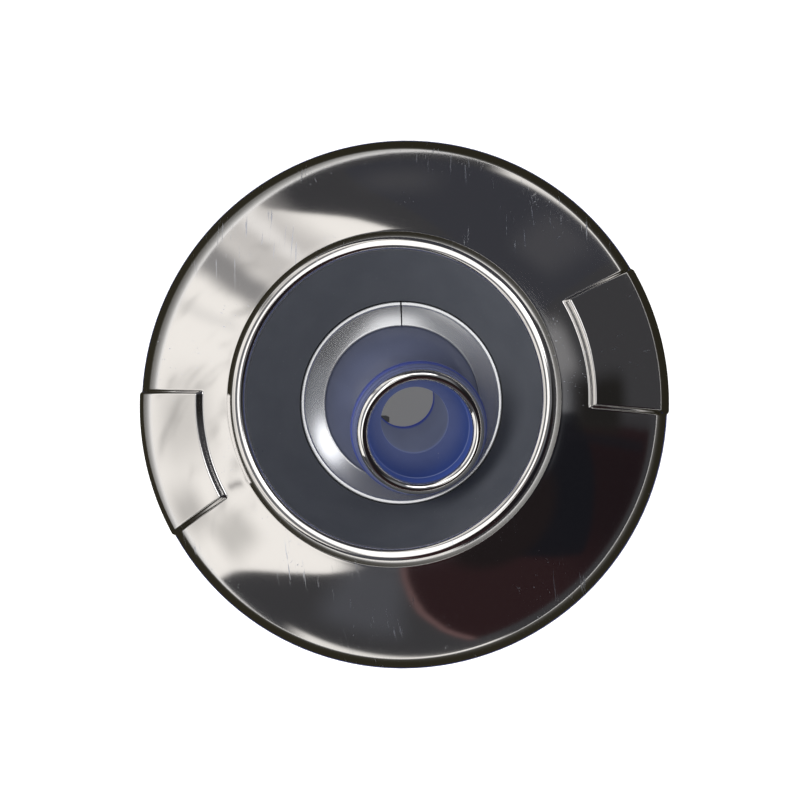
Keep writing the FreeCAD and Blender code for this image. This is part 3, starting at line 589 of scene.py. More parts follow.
def ring_faces(rings: int, count: int, closed: bool = True) -> list[tuple[int, ...]]:
    """Faces between neighbouring rings of vertices, each ring a closed outline.

    Args:
        rings: How many rings there are.
        count: How many vertices each ring has.
        closed: Whether the last ring joins the first.

    Returns:
        Vertex numbers of each face.
    """
    faces = []
    for ring in range(rings if closed else rings - 1):
        here, following = ring * count, (ring + 1) % rings * count
        for index in range(count):
            beside = (index + 1) % count
            faces.append((here + index, here + beside, following + beside, following + index))
    return faces


def ring_places(outline: Outline, angle: float) -> list[Vector]:
    """Places of an outline's points at an angle round the axis, in metres.

    Args:
        outline: The section.
        angle: The angle in radians.

    Returns:
        One place for each point.
    """
    cosine, sine = math.cos(angle), math.sin(angle)
    return [Vector((radius * cosine, radius * sine, height)) * MM for radius, height in outline.points]


def lathe(
    name: str, outline: Outline, steps: int = 192, turn: Optional[Matrix] = None, sharp: float = 40.0
) -> bpy.types.Object:
    """Turns a closed outline about the jet axis.

    Args:
        name: The piece's name.
        outline: The closed section.
        steps: Steps round the axis.
        turn: Carries the piece from its own axis to its place.
        sharp: Edges that turn by more degrees than this stay sharp.

    Returns:
        The linked object.
    """
    place = turn or Matrix.Identity(4)
    vertices = []
    for step in range(steps):
        vertices += [place @ spot for spot in ring_places(outline, math.tau * step / steps)]
    return new_piece(name, vertices, ring_faces(steps, len(outline.points)), sharp)


class GeometryTree:
    """Builds a Geometry Nodes tree and turns its result into a plain mesh."""

    def __init__(self, name: str) -> None:
        """Starts a tree with one geometry output."""
        self.tree = bpy.data.node_groups.new(name, "GeometryNodeTree")
        self.tree.interface.new_socket("Geometry", in_out="OUTPUT", socket_type="NodeSocketGeometry")
        self.entry = self.tree.nodes.new("NodeGroupInput")
        self.exit = self.tree.nodes.new("NodeGroupOutput")
        self.sizes: dict[str, float] = {}

    def size(self, name: str, value: float, kind: str = "NodeSocketFloat") -> bpy.types.NodeSocket:
        """Adds a named input and gives its socket in the tree.

        Args:
            name: The input's name.
            value: Its value.
            kind: Its socket's type name.

        Returns:
            The input's socket inside the tree.
        """
        made = self.tree.interface.new_socket(name, in_out="INPUT", socket_type=kind)
        self.sizes[made.identifier] = value
        return self.entry.outputs[name]

    def node(
        self, kind: str, settings: Optional[dict] = None, inputs: Optional[dict] = None
    ) -> bpy.types.Node:
        """Adds a node with its settings and the values or links of its sockets.

        Args:
            kind: The node's type name.
            settings: Properties of the node.
            inputs: Values or links of its sockets, by name or number.

        Returns:
            The new node.
        """
        made = self.tree.nodes.new(kind)
        for name, value in (settings or {}).items():
            setattr(made, name, value)
        for name, value in (inputs or {}).items():
            if isinstance(value, bpy.types.NodeSocket):
                self.tree.links.new(value, made.inputs[name])
            else:
                made.inputs[name].default_value = value
        return made

    def build(
        self, name: str, geometry: bpy.types.NodeSocket, material: bpy.types.Material, smooth: bool = True
    ) -> bpy.types.Object:
        """Realizes the geometry as a plain mesh object.

        Args:
            name: The piece's name.
            geometry: The last geometry socket.
            material: Its material.
            smooth: Whether its faces are shaded smooth.

        Returns:
            The linked object.
        """
        real = self.node("GeometryNodeRealizeInstances", None, {0: geometry})
        inputs = {"Geometry": real.outputs[0], "Shade Smooth": smooth}
        shaded = self.node("GeometryNodeSetShadeSmooth", None, inputs)
        inputs = {"Geometry": shaded.outputs[0], "Material": material}
        dressed = self.node("GeometryNodeSetMaterial", None, inputs)
        self.tree.links.new(dressed.outputs[0], self.exit.inputs[0])
        holder = bpy.data.objects.new(name + "_maker", bpy.data.meshes.new(name + "_maker"))
        bpy.context.scene.collection.objects.link(holder)
        modifier = holder.modifiers.new("Maker", "NODES")
        modifier.node_group = self.tree
        for identifier, value in self.sizes.items():
            modifier[identifier] = value
        evaluated = holder.evaluated_get(bpy.context.evaluated_depsgraph_get())
        mesh = bpy.data.meshes.new_from_object(evaluated)
        bpy.data.objects.remove(holder)
        mesh.name = name
        piece = bpy.data.objects.new(name, mesh)
        bpy.context.scene.collection.objects.link(piece)
        return piece


def place_piece(piece: bpy.types.Object, body: str, slot: str, *nodes: str) -> None:
    """Rides a piece on a body in place of CAD nodes, and reports it.

    Args:
        piece: The piece.
        body: The body that it moves with.
        slot: The name of its material's slot; not used.
        nodes: The CAD nodes that it stands for.
    """
    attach(piece, body)
    if nodes:
        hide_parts(*nodes)
    LOG.info("%s rides on %s for %s", piece.name, body, ", ".join(nodes) or "no node")


def dress(piece: bpy.types.Object, material: bpy.types.Material) -> None:
    """Gives an object one material in all its slots."""
    piece.data.materials.clear()
    piece.data.materials.append(material)


@dataclass
class Escutcheon:
    """The pressed stainless cover: skirt, dome, two grip pads and rounded lip. Millimetres above the seat."""

    seat: float
    face_radius: float = 63.5
    sheet: float = 0.8
    rim_height: float = 1.0
    skirt_height: float = 1.3
    bevel: Point = (61.3, 4.35)
    bevel_bend: float = 18.0
    dome_bend: float = 65.0
    dome_end: Point = (39.75, 17.57)
    lip_foot: Point = (39.45, 17.80)
    lip_foot_bend: float = 0.6
    lip_shoulder: Point = (38.05, 19.44)
    lip_top: Point = (36.5, 19.98)
    lip_bend: float = 2.1
    lip_edge: Point = (35.1, 18.7)
    lip_edge_bend: float = 1.38
    lip_return: float = 1.4
    pad_inner_radius: float = 45.7
    pad_rise: float = 1.75
    pad_overhang: float = 0.65
    pad_span: float = 33.5
    pad_angle: float = 13.5
    wall_width: float = 1.15
    spacing: float = 0.42
    lip_spacing: float = 0.2
    turn_step: float = 1.5
    pad_edge_step: float = 0.2
    pad_edge_reach: float = 2.4
    pad_wall_reach: float = 2.5
    finish: PolishedSteel = PolishedSteel()

    def section(self) -> list[Point]:
        """The sheet's outer side from the skirt's foot to the lip's edge.

        Returns:
            Points of radius and height.
        """
        inner, edge_height = self.lip_edge
        outline = Outline([(self.face_radius, self.rim_height)], self.spacing)
        outline.line(self.face_radius, (self.rim_height + self.skirt_height) / 2.0)
        outline.line(self.face_radius, self.skirt_height)
        outline.arc(*self.bevel, self.bevel_bend, Bend.LEFT)
        outline.arc(*self.dome_end, self.dome_bend, Bend.LEFT)
        outline.spacing = self.lip_spacing
        outline.arc(*self.lip_foot, self.lip_foot_bend, Bend.RIGHT)
        foot, shoulder = self.lip_foot, self.lip_shoulder
        outline.line((foot[0] + shoulder[0]) / 2.0, (foot[1] + shoulder[1]) / 2.0)
        outline.line(*self.lip_shoulder)
        outline.arc(*self.lip_top, self.lip_bend, Bend.LEFT)
        outline.arc(*self.lip_edge, self.lip_edge_bend, Bend.LEFT)
        outline.line(inner, edge_height - self.lip_return / 2.0)
        outline.line(inner, edge_height - self.lip_return)
        return outline.points

    @staticmethod
    def normals(points: np.ndarray) -> np.ndarray:
        """Unit normals to the left of travel along a run of points, turned outwards.

        Args:
            points: The run, one point in each row.

        Returns:
            One normal for each point.
        """
        run = np.gradient(points, axis=0)
        run /= np.linalg.norm(run, axis=1)[:, None]
        return np.stack([run[:, 1], -run[:, 0]], axis=1)

    def angles(self) -> np.ndarray:
        """Angles round the axis, closer together at the pads' side walls.

        Returns:
            The angles in radians, in order.
        """
        even = np.arange(0.0, 360.0, self.turn_step)
        edges = []
        reach = self.pad_edge_reach
        for middle in (self.pad_angle, self.pad_angle + 180.0):
            for side in (-1.0, 1.0):
                edge = middle + side * self.pad_span / 2.0
                edges.append(np.arange(edge - reach, edge + reach, self.pad_edge_step))
        fine = np.concatenate(edges) % 360.0
        apart = self.pad_edge_step / 2.0
        keep = [a for a in even if np.min(np.abs((a - fine + 180.0) % 360.0 - 180.0)) > apart]
        return np.radians(np.sort(np.concatenate([keep, fine])))

    def pad_mask(self, radius: np.ndarray, angle: np.ndarray) -> np.ndarray:
        """How far the pads rise, from 0 to 1, over radius and angle.

        Args:
            radius: Radii in millimetres.
            angle: Angles in radians, of the same shape.

        Returns:
            The share of the rise at each place.
        """
        turned = np.degrees(angle) - self.pad_angle
        folded = np.abs((turned + 90.0) % 180.0 - 90.0)
        beside = radius * np.radians(self.pad_span / 2.0 - folded)
        inside = radius - self.pad_inner_radius
        ramps = []
        for distance in (beside, inside):
            share = np.clip(distance / self.wall_width, 0.0, 1.0)
            ramps.append(share * share * (3.0 - 2.0 * share))
        return ramps[0] * ramps[1]

    def surface(self, depth: float, angles: np.ndarray) -> np.ndarray:
        """Grid of places on the sheet at a depth under its outer side.

        Args:
            depth: Depth in millimetres.
            angles: Angles round the axis in radians.

        Returns:
            Places in metres, by angle and then along the section.
        """
        section = np.array(self.section())
        near = np.abs(section[:, 0] - self.pad_inner_radius) < self.pad_wall_reach
        dense = []
        for index in range(len(section) - 1):
            dense.append(section[index])
            if near[index] and near[index + 1]:
                for share in (0.25, 0.5, 0.75):
                    dense.append(section[index] * (1 - share) + section[index + 1] * share)
        dense.append(section[-1])
        section = np.array(dense)
        normals = self.normals(section)
        radius, angle = np.meshgrid(section[:, 0], angles)
        mask = self.pad_mask(radius, angle)
        skirt = np.clip((section[:, 0] - self.bevel[0]) / (self.face_radius - self.bevel[0]), 0.0, 1.0)
        rise = self.pad_rise * (1.0 - skirt) + self.pad_overhang * skirt
        lift = mask * rise[None, :] - depth
        reach = section[:, 0][None, :] + normals[:, 0][None, :] * lift
        height = section[:, 1][None, :] + normals[:, 1][None, :] * lift
        foot = section[:, 1] <= self.rim_height + 1e-6
        height[:, foot] = self.rim_height
        edge = np.arange(len(section)) == len(section) - 1
        height[:, edge] = section[-1, 1]
        return np.stack([reach * np.cos(angle), reach * np.sin(angle), height + self.seat], axis=2) * MM

    def build(self) -> bpy.types.Object:
        """Makes the closed sheet and dresses it.

        Returns:
            The cover.
        """
        angles = self.angles()
        outer = self.surface(0.0, angles)
        inner = self.surface(self.sheet, angles)[:, ::-1]
        loop = np.concatenate([outer, inner], axis=1)
        piece = new_piece("cover_sheet", loop.reshape(-1, 3), ring_faces(*loop.shape[:2]), sharp=50.0)
        dress(piece, self.finish.build("polished_steel"))
        place_piece(piece, "face", "polished_steel", "escutcheon_cover")
        return piece


@dataclass
class Funnel:
    """The grey liner between lip and socket, with its flange. Millimetres above the seat."""

    seat: float
    top_radius: float = 35.0
    top_height: float = 17.0
    wall: float = 1.9
    flange: float = 2.3
    bend: float = 70.0
    foot_radius: float = 24.6
    socket_height: float = 2.2
    flange_lead: float = 0.3
    flange_chamfer: float = 0.4
    finish: Plastic = Plastic((0.088, 0.094, 0.108), (0.078, 0.084, 0.097), roughness=0.3, turned=0.8)

    def build(self) -> bpy.types.Object:
        """Turns the liner.

        Returns:
            The liner.
        """
        flange_radius = self.top_radius + self.flange
        top = self.seat + self.top_height
        outline = Outline([(self.foot_radius, self.seat)])
        outline.line(self.foot_radius + self.wall, self.seat)
        outline.line(flange_radius - self.flange_lead, top - self.wall)
        outline.line(flange_radius, top - self.wall + self.flange_chamfer)
        outline.line(flange_radius, top)
        outline.line(self.top_radius, top)
        outline.arc(self.foot_radius, self.seat + self.socket_height, self.bend, Bend.RIGHT)
        piece = lathe("funnel_liner", outline)
        dress(piece, self.finish.build("funnel_grey"))
        place_piece(piece, "face", "funnel_grey", "funnel")
        return piece


@dataclass
class SocketRing:
    """The split silver ring over the ball. Millimetres above the seat."""

    seat: float
    pivot: float
    outer_radius: float = 24.4
    ball_clear: float = 22.7
    top: float = 2.2
    dish: float = 1.7
    rim: float = 0.9
    depth: float = 3.0
    slit: float = 0.4
    edge: float = 0.35
    rim_edge: float = 0.4
    rim_drop: float = 0.16
    dish_bend: float = 30.0
    foot_lead: float = 0.4
    foot_drop: float = 0.3
    steps: int = 256
    finish: Chrome = Chrome((0.60, 0.61, 0.63), roughness=0.20, lines=0.05, metallic=0.78, pitting=0.1)

    def build(self) -> bpy.types.Object:
        """Turns the ring with a gap at the back, and dresses it.

        Returns:
            The ring.
        """
        top = self.seat + self.top
        bottom = self.seat - self.depth
        inner_top = top - self.dish
        inner_radius = math.sqrt(self.ball_clear**2 - (inner_top - self.pivot) ** 2)
        low_radius = math.sqrt(self.ball_clear**2 - (bottom - self.pivot) ** 2)
        rim_radius = self.outer_radius - self.rim
        outline = Outline([(low_radius, bottom), (self.outer_radius, bottom)], spacing=0.25)
        outline.line(self.outer_radius, top - self.edge)
        outline.arc(self.outer_radius - self.edge, top, self.edge, Bend.LEFT)
        outline.line(rim_radius + 0.25, top - 0.01)
        outline.arc(rim_radius - 0.1, top - self.rim_drop, self.rim_edge, Bend.LEFT)
        outline.arc(inner_radius + self.foot_lead, inner_top + 0.02, self.dish_bend, Bend.RIGHT)
        outline.arc(inner_radius, inner_top - self.foot_drop, self.foot_lead, Bend.LEFT)
        half = math.degrees(self.slit / 2.0 / self.outer_radius)
        vertices = []
        for step in range(self.steps + 1):
            angle = math.radians(90.0 + half + (360.0 - 2.0 * half) * step / self.steps)
            vertices += ring_places(outline, angle)
        count = len(outline.points)
        last = self.steps * count
        faces = [tuple(range(count)), tuple(range(last + count - 1, last - 1, -1))]
        faces += ring_faces(self.steps + 1, count, closed=False)
        piece = new_piece("socket_ring_dish", vertices, faces, sharp=45.0)
        dress(piece, self.finish.build("silver_ring"))
        place_piece(piece, "face", "silver_ring", "socket_ring")
        return piece


@dataclass
class Nozzle:
    """The ball, neck and stepped collar in one moulding, and the chrome ring on its mouth."""

    pivot: Vector
    tilt_axis: Vector
    lean: float = 20.6
    ball: float = 22.4
    ball_cut: float = 18.0
    neck: float = 12.2
    collar_start: float = 22.4
    collar: float = 16.3
    step: float = 0.45
    neck_fillet: float = 0.8
    collar_edge: float = 0.5
    collar_rise: float = 0.3
    first_step: tuple[float, float, float] = (0.38, 0.42, 0.46)
    second_step: tuple[float, float, float] = (0.70, 0.74, 0.78)
    mouth_height: float = 27.5
    mouth: float = 12.4
    throat: float = 8.5
    throat_height: float = 15.5
    throat_bend: float = 15.0
    throat_step: float = 0.3
    tube: float = 7.4
    tube_height: float = -10.0
    tube_inlet: float = 10.0
    trim_outer: float = 15.1
    trim_side: float = 0.7
    trim_bend: float = 1.5
    moulding: BluePlastic = BluePlastic()
    chrome: Chrome = Chrome(roughness=0.03, lines=0.01)

    @property
    def turn(self) -> Matrix:
        """Carries the nozzle from its own axis to its lean about the ball's centre."""
        return Matrix.Translation(self.pivot) @ Matrix.Rotation(math.radians(self.lean), 4, self.tilt_axis)

    def section(self) -> Outline:
        """The moulding's section about its own axis.

        Returns:
            The closed outline.
        """
        rise = self.mouth_height - self.collar_start
        base = self.collar_start
        outline = Outline([(self.tube_inlet, -self.ball_cut)], spacing=0.5)
        outline.line(math.sqrt(self.ball**2 - self.ball_cut**2), -self.ball_cut)
        outline.arc(self.neck, math.sqrt(self.ball**2 - self.neck**2), self.ball, Bend.LEFT)
        outline.line(self.neck, base - self.neck_fillet)
        outline.arc(self.neck + self.neck_fillet, base, self.neck_fillet, Bend.RIGHT)
        outline.line(self.collar - self.collar_edge, base + self.collar_rise)
        outline.arc(self.collar, base + self.collar_rise + self.collar_edge, self.collar_edge, Bend.LEFT)
        ledge = self.collar - self.step
        crown = self.collar - 2.0 * self.step
        for radius, share in zip((self.collar, self.collar - 0.15, ledge), self.first_step):
            outline.line(radius, base + rise * share)
        for radius, share in zip((ledge, ledge - 0.12, crown), self.second_step):
            outline.line(radius, base + rise * share)
        outline.line(crown, self.mouth_height)
        outline.line(self.mouth, self.mouth_height)
        outline.line(self.mouth - 0.25, self.mouth_height - 0.5)
        outline.line(self.mouth - 0.3, self.mouth_height - 3.0)
        outline.arc(self.throat, self.throat_height, self.throat_bend, Bend.RIGHT)
        outline.line(self.throat - self.throat_step, self.throat_height - self.throat_step)
        outline.line(self.tube, self.tube_height)
        return outline

    def trim(self) -> bpy.types.Object:
        """The half-round ring on the mouth.

        Returns:
            The ring.
        """
        foot = self.mouth_height + 0.02
        shoulder = foot + self.trim_side
        corners = [(self.mouth, foot), (self.trim_outer, foot), (self.trim_outer, shoulder)]
        section = Outline(corners, spacing=0.12)
        section.arc(self.mouth, shoulder, self.trim_bend, Bend.LEFT)
        bead = lathe("trim_bead", section, turn=self.turn, sharp=50.0)
        dress(bead, self.chrome.build("trim_chrome", self.turn))
        place_piece(bead, "nozzle", "trim_chrome", "nozzle_trim_ring")
        return bead

    def build(self) -> list[bpy.types.Object]:
        """Makes the moulding and its ring.

        Returns:
            Both pieces.
        """
        moulding = lathe("nozzle_moulding", self.section(), turn=self.turn)
        dress(moulding, self.moulding.build("nozzle_blue_painted_light", self))
        place_piece(moulding, "nozzle", "blue_plastic", "ball_nozzle")
        bead = self.trim()
        return [moulding, bead]


@dataclass
class Screws:
    """Four pan head screws with a cross recess, seen from the back of the face. Millimetres."""

    seat: float
    circle: float = 34.0
    count: int = 4
    head_radius: float = 2.4
    head_height: float = 1.15
    shank_radius: float = 1.25
    length: float = 6.6
    head_seat: float = 1.2
    slot: float = 0.55
    slot_length: float = 2.6
    slot_depth: float = 0.7
    core: float = 0.02
    crown_share: float = 0.62
    crown_foot: float = 0.35
    crown_bend: float = 1.3
    thread_start: float = 0.4
    thread_pitch: float = 0.6
    thread_depth: float = 0.18
    thread_stop: float = 0.8
    tip: float = 0.3
    finish: Chrome = Chrome((0.62, 0.62, 0.61), roughness=0.2, lines=0.1)

    def profile(self) -> Outline:
        """Half section of a screw with its head down and the head's seat at height 0.

        Returns:
            The closed outline.
        """
        crown = (self.head_radius * self.crown_share, -self.head_height)
        outline = Outline([(self.core, -self.head_height), crown], spacing=0.15)
        outline.arc(self.head_radius, -self.head_height * self.crown_foot, self.crown_bend, Bend.LEFT)
        outline.line(self.head_radius, 0.0)
        outline.line(self.shank_radius, 0.0)
        root = self.shank_radius - self.thread_depth
        height = self.thread_start
        while height < self.length - self.thread_stop:
            outline.lines((root, height), (self.shank_radius, height + self.thread_pitch / 2.0))
            height += self.thread_pitch
        outline.lines((self.shank_radius - self.tip, self.length - self.tip), (self.core, self.length))
        return outline

    def build(self) -> bpy.types.Object:
        """Places the screws on their circle with Geometry Nodes.

        Returns:
            The four screws as one piece.
        """
        pattern = lathe("screw_pattern", self.profile(), steps=32)
        tree = GeometryTree("screw_circle")
        circle = tree.size("Circle", self.circle * MM)
        count = tree.size("Count", self.count, "NodeSocketInt")
        slot = tree.size("Slot", self.slot * MM)
        length = tree.size("Slot length", self.slot_length * MM)
        depth = tree.size("Slot depth", 2.0 * self.slot_depth * MM)
        source = tree.node("GeometryNodeObjectInfo", None, {"Object": pattern})
        cuts = tree.node("GeometryNodeJoinGeometry")
        for first, second in ((slot, length), (length, slot)):
            size = tree.node("ShaderNodeCombineXYZ", None, {0: first, 1: second, 2: depth})
            cutter = tree.node("GeometryNodeMeshCube", None, {"Size": size.outputs[0]})
            inputs = {"Geometry": cutter.outputs[0], "Translation": (0.0, 0.0, -self.head_height * MM)}
            lowered = tree.node("GeometryNodeTransform", None, inputs)
            tree.tree.links.new(lowered.outputs[0], cuts.inputs[0])
        recess = tree.node("GeometryNodeMeshBoolean", {"operation": "DIFFERENCE"})
        tree.tree.links.new(source.outputs["Geometry"], recess.inputs[0])
        tree.tree.links.new(cuts.outputs[0], recess.inputs[1])
        ring = tree.node("GeometryNodeMeshCircle", None, {"Vertices": count, "Radius": circle})
        inputs = {"Points": ring.outputs[0], "Instance": recess.outputs[0]}
        placed = tree.node("GeometryNodeInstanceOnPoints", None, inputs)
        height = (self.seat + self.head_seat) * MM
        inputs = {"Geometry": placed.outputs[0], "Translation": (0.0, 0.0, height)}
        raised = tree.node("GeometryNodeTransform", None, inputs)
        steel = self.finish.build("screw_steel")
        piece = tree.build("pan_head_screws", raised.outputs[0], steel, smooth=False)
        bpy.data.objects.remove(pattern)
        place_piece(piece, "face", "screw_steel", "funnel_screws")
        return piece


@dataclass
class Internals:
    """CAD nodes that keep their own shape, with the finish that each one gets."""

    grey_plastic: Plastic = Plastic((0.135, 0.14, 0.15), (0.115, 0.12, 0.13), roughness=0.42, turned=0.3)
    # painted light: the venturi and vanes glow, though they are no lamp, so the far end of the nozzle's
    # passage reads lighter
    inlet_plastic_painted_glow: Plastic = Plastic(
        (0.112, 0.113, 0.118), (0.098, 0.100, 0.104), roughness=0.42, turned=0.3, glow=0.3
    )
    blue_plastic: Plastic = Plastic((0.035, 0.05, 0.20), (0.028, 0.042, 0.175), roughness=0.25, turned=0.3)
    acetal: Plastic = Plastic((0.74, 0.74, 0.71), (0.70, 0.70, 0.67), roughness=0.35)
    steel: Chrome = Chrome((0.62, 0.62, 0.61), roughness=0.2, lines=0.1)
    rubber: Rubber = Rubber()

    def dress_all(self) -> None:
        """Dresses the carried-over nodes."""
        washers = ("upper_thrust_washer", "lower_thrust_washer")
        seals = ("barrel_o_ring", "tail_o_ring", "sleeve_o_ring", "seat_o_ring")
        finishes: dict[str, tuple[Callable[[str], bpy.types.Material], Sequence[str]]] = {
            "barrel_grey": (self.grey_plastic.build, ("barrel", "throttle_sleeve", "ball_housing")),
            "inlet_grey": (self.inlet_plastic_painted_glow.build, ("venturi_nozzle", "inlet_vanes")),
            "plate_blue": (self.blue_plastic.build, ("face_plate",)),
            "acetal_white": (self.acetal.build, ("ball_seat_ring", *washers)),
            "snap_steel": (self.steel.build, ("snap_ring",)),
            "seal_rubber": (self.rubber.build, seals),
        }
        for name, (build, nodes) in finishes.items():
            material = build(name)
            for node in nodes:
                dress(frame["nodes"][node], material)
                LOG.info("%s keeps its shape, in %s", node, name)


def direction(azimuth: float, elevation: float) -> Vector:
    """Unit vector toward an azimuth and elevation in degrees.

    Args:
        azimuth: Degrees from +X toward +Y.
        elevation: Degrees above the horizon.

    Returns:
        The direction.
    """
    turn = math.radians(azimuth)
    rise = math.radians(elevation)
    return Vector((math.cos(rise) * math.cos(turn), math.cos(rise) * math.sin(turn), math.sin(rise)))


@dataclass(frozen=True)
class Patch:
    """A lit or dark area of the studio, between two edges that curve with height.

    An edge is (azimuth at the horizon, change per degree of elevation, change per degree squared).
    """

    left: tuple[float, float, float]
    right: tuple[float, float, float]
    low: float
    high: float
    colour: Colour
    soft: float = 0.8
    soft_height: float = 1.5
    share: float = 1.0


def upright(left: float, right: float, low: float, high: float, colour: Colour, **shape: float) -> Patch:
    """A patch between two upright edges.

    Args:
        left: Azimuth of its first edge.
        right: Azimuth of its second edge.
        low: Elevation of its foot.
        high: Elevation of its top.
        colour: Its colour.
        shape: The patch's other fields by name.

    Returns:
        The patch.
    """
    return Patch((left, 0.0, 0.0), (right, 0.0, 0.0), low, high, colour, **shape)


@dataclass(frozen=True)
class Spot:
    """A round soft light toward one direction."""

    azimuth: float
    elevation: float
    size: float
    colour: Colour


@dataclass(frozen=True)
class Strip:
    """A long soft light overhead, between two bounds across and two along it (parts of the unit vector)."""

    across: tuple[float, float] = (-0.22, 0.19)
    along: tuple[float, float] = (-0.53, 0.58)
    soft: float = 0.05
    colour: Colour = (1.7, 1.68, 1.66)

    def mask(self, shading: Shading, x: Field, y: Field) -> Field:
        """How much of the strip shows in a direction, from 0 to 1.

        Args:
            shading: The tree to build in.
            x: The direction's first part.
            y: The direction's second part.

        Returns:
            The share.
        """
        parts = []
        for value, (low, high) in ((x, self.across), (y, self.along)):
            parts.append(shading.smooth(value, low - self.soft, low + self.soft))
            parts.append(1.0 - shading.smooth(value, high - self.soft, high + self.soft))
        return parts[0] * parts[1] * parts[2] * parts[3]


@dataclass
class Studio:
    """Pale floor, soft light, white background, and the panels that the polished metal reflects."""

    target: Vector
    azimuth: float = -28.0
    tilt: float = 7.7
    distance: float = 0.66
    frame_width: float = 0.1921
    sensor: float = 36.0
    even: float = 0.55
    # painted shade: the floor glows less under the tail, and reflections see it dark near the object
    tail_shade: Point = (22.0, 30.0)
    near_floor_painted_shade: Colour = (0.030, 0.027, 0.018)
    shade_start: float = 250.0
    shade_end: float = 2500.0
    room: Colour = (0.055, 0.055, 0.060)
    patches: tuple[Patch, ...] = (
        # Room above the steel's reach, which the ring and the beads see
        upright(-40.0, 400.0, 50.0, 74.0, (0.20, 0.205, 0.22), soft_height=4.0),
        upright(14.0, 34.0, 44.0, 56.0, (0.25, 0.25, 0.26), soft=5.0, soft_height=4.0),
        # Back wall at the top and its tones
        Patch((40.0, 0.0, 0.0), (109.0, 0.05, -0.0165), 3.0, 50.0, (0.050, 0.052, 0.064), soft=0.6),
        Patch(
            (44.0, 0.1, 0.0), (58.0, 0.1, 0.0), 8.0, 36.0, (0.10, 0.10, 0.11),
            soft=5.0, soft_height=6.0, share=0.6,
        ),
        Patch(
            (88.0, 0.0, 0.0), (108.0, 0.0, -0.012), 10.0, 22.0, (0.09, 0.09, 0.098),
            soft=6.0, soft_height=6.0, share=0.6,
        ),
        # Softbox at the left with the fabric's folds
        Patch(
            (128.2, -0.13, -0.0137), (217.0, 0.05, 0.0138), -40.0, 46.5, (1.22, 1.19, 1.15),
            soft_height=2.0,
        ),
        Patch(
            (126.0, 0.0, -0.005), (141.0, 0.0, 0.0), -40.0, 40.0, (0.62, 0.60, 0.59),
            soft=5.0, soft_height=5.0, share=0.75,
        ),
        Patch(
            (129.5, 0.0, -0.002), (133.5, 0.0, -0.002), -40.0, 38.0, (1.20, 1.18, 1.16),
            soft=1.6, soft_height=6.0, share=0.7,
        ),
        upright(140.5, 147.5, -40.0, 40.0, (0.20, 0.20, 0.21), soft=2.2, soft_height=4.0, share=0.85),
        upright(154.0, 156.0, -40.0, 36.0, (0.80, 0.79, 0.78), soft=2.0, soft_height=6.0, share=0.6),
        upright(199.3, 200.9, 31.5, 39.0, (0.25, 0.24, 0.24), soft=0.5, soft_height=1.0),
        upright(172.0, 190.0, 4.0, 30.0, (0.36, 0.35, 0.34), soft=8.0, soft_height=9.0, share=0.4),
        upright(196.0, 206.0, 0.0, 17.0, (0.36, 0.35, 0.34), soft=5.0, soft_height=6.0, share=0.6),
        upright(207.0, 217.0, 12.0, 32.0, (0.50, 0.49, 0.47), soft=4.0, soft_height=6.0, share=0.6),
        # Right side: lighter strip, dark red card and a blue-black shape on it
        Patch(
            (241.0, 0.05, 0.0), (264.0, 0.0, 0.0), 16.0, 50.0, (0.098, 0.102, 0.118),
            soft=5.0, soft_height=8.0, share=0.85,
        ),
        Patch(
            (289.0, -0.95, 0.0083), (356.0, 0.0, 0.0), 9.5, 52.0, (0.030, 0.015, 0.017),
            soft=0.6, soft_height=0.7,
        ),
        upright(318.0, 356.0, 9.5, 52.0, (0.012, 0.008, 0.010), soft=12.0, soft_height=2.0, share=0.8),
        Patch(
            (289.0, -0.95, 0.0083), (291.2, -0.95, 0.0083), 9.5, 50.0, (0.21, 0.13, 0.13),
            soft=0.8, soft_height=1.5, share=0.8,
        ),
        Patch(
            (330.0, -0.67, 0.0), (294.8, 1.4, 0.0), 17.0, 54.0, (0.009, 0.010, 0.014),
            soft=1.2, share=0.92,
        ),
        upright(-6.0, 11.0, 25.0, 46.0, (0.018, 0.017, 0.016), soft=4.0, soft_height=4.0),
        upright(354.0, 371.0, 25.0, 46.0, (0.018, 0.017, 0.016), soft=4.0, soft_height=4.0),
        upright(350.0, 353.0, 12.0, 50.0, (0.012, 0.012, 0.016), soft=0.8, share=0.8),
        # Low lights that draw the bevel
        upright(36.0, 74.0, -30.0, 2.5, (1.1, 1.08, 1.05), soft=4.0, soft_height=1.0),
        upright(238.0, 289.0, -30.0, 4.0, (1.1, 1.08, 1.05), soft=4.0, soft_height=1.0),
    )
    fold_area: Patch = upright(132.0, 212.0, 2.0, 42.0, grey(0.0), soft=5.0, soft_height=5.0, share=0.6)
    fold_colour: Colour = (0.38, 0.37, 0.36)
    strip: Strip = Strip()
    spots: tuple[Spot, ...] = (
        Spot(44.0, 61.0, 11.0, (3.2, 3.2, 3.25)),
        Spot(-28.0, 82.3, 6.5, (0.16, 0.11, 0.10)),
        Spot(-52.0, 54.0, 19.0, (0.016, 0.012, 0.013)),
    )

    def patch_mask(self, shading: Shading, azimuth: Field, elevation: Field, patch: Patch) -> Field:
        """How much of a patch shows in a direction, from 0 to 1.

        Args:
            shading: The tree to build in.
            azimuth: The direction's azimuth in degrees.
            elevation: The direction's elevation in degrees.
            patch: The patch.

        Returns:
            The share.
        """
        square = elevation * elevation
        sides = []
        for start, slope, bend in (patch.left, patch.right):
            beside = azimuth - (elevation * slope + square * bend + start)
            sides.append(shading.smooth(beside, -patch.soft, patch.soft))
        above = shading.smooth(elevation, patch.low - patch.soft_height, patch.low + patch.soft_height)
        below = shading.smooth(elevation, patch.high - patch.soft_height, patch.high + patch.soft_height)
        return sides[0] * (1.0 - sides[1]) * above * (1.0 - below) * patch.share

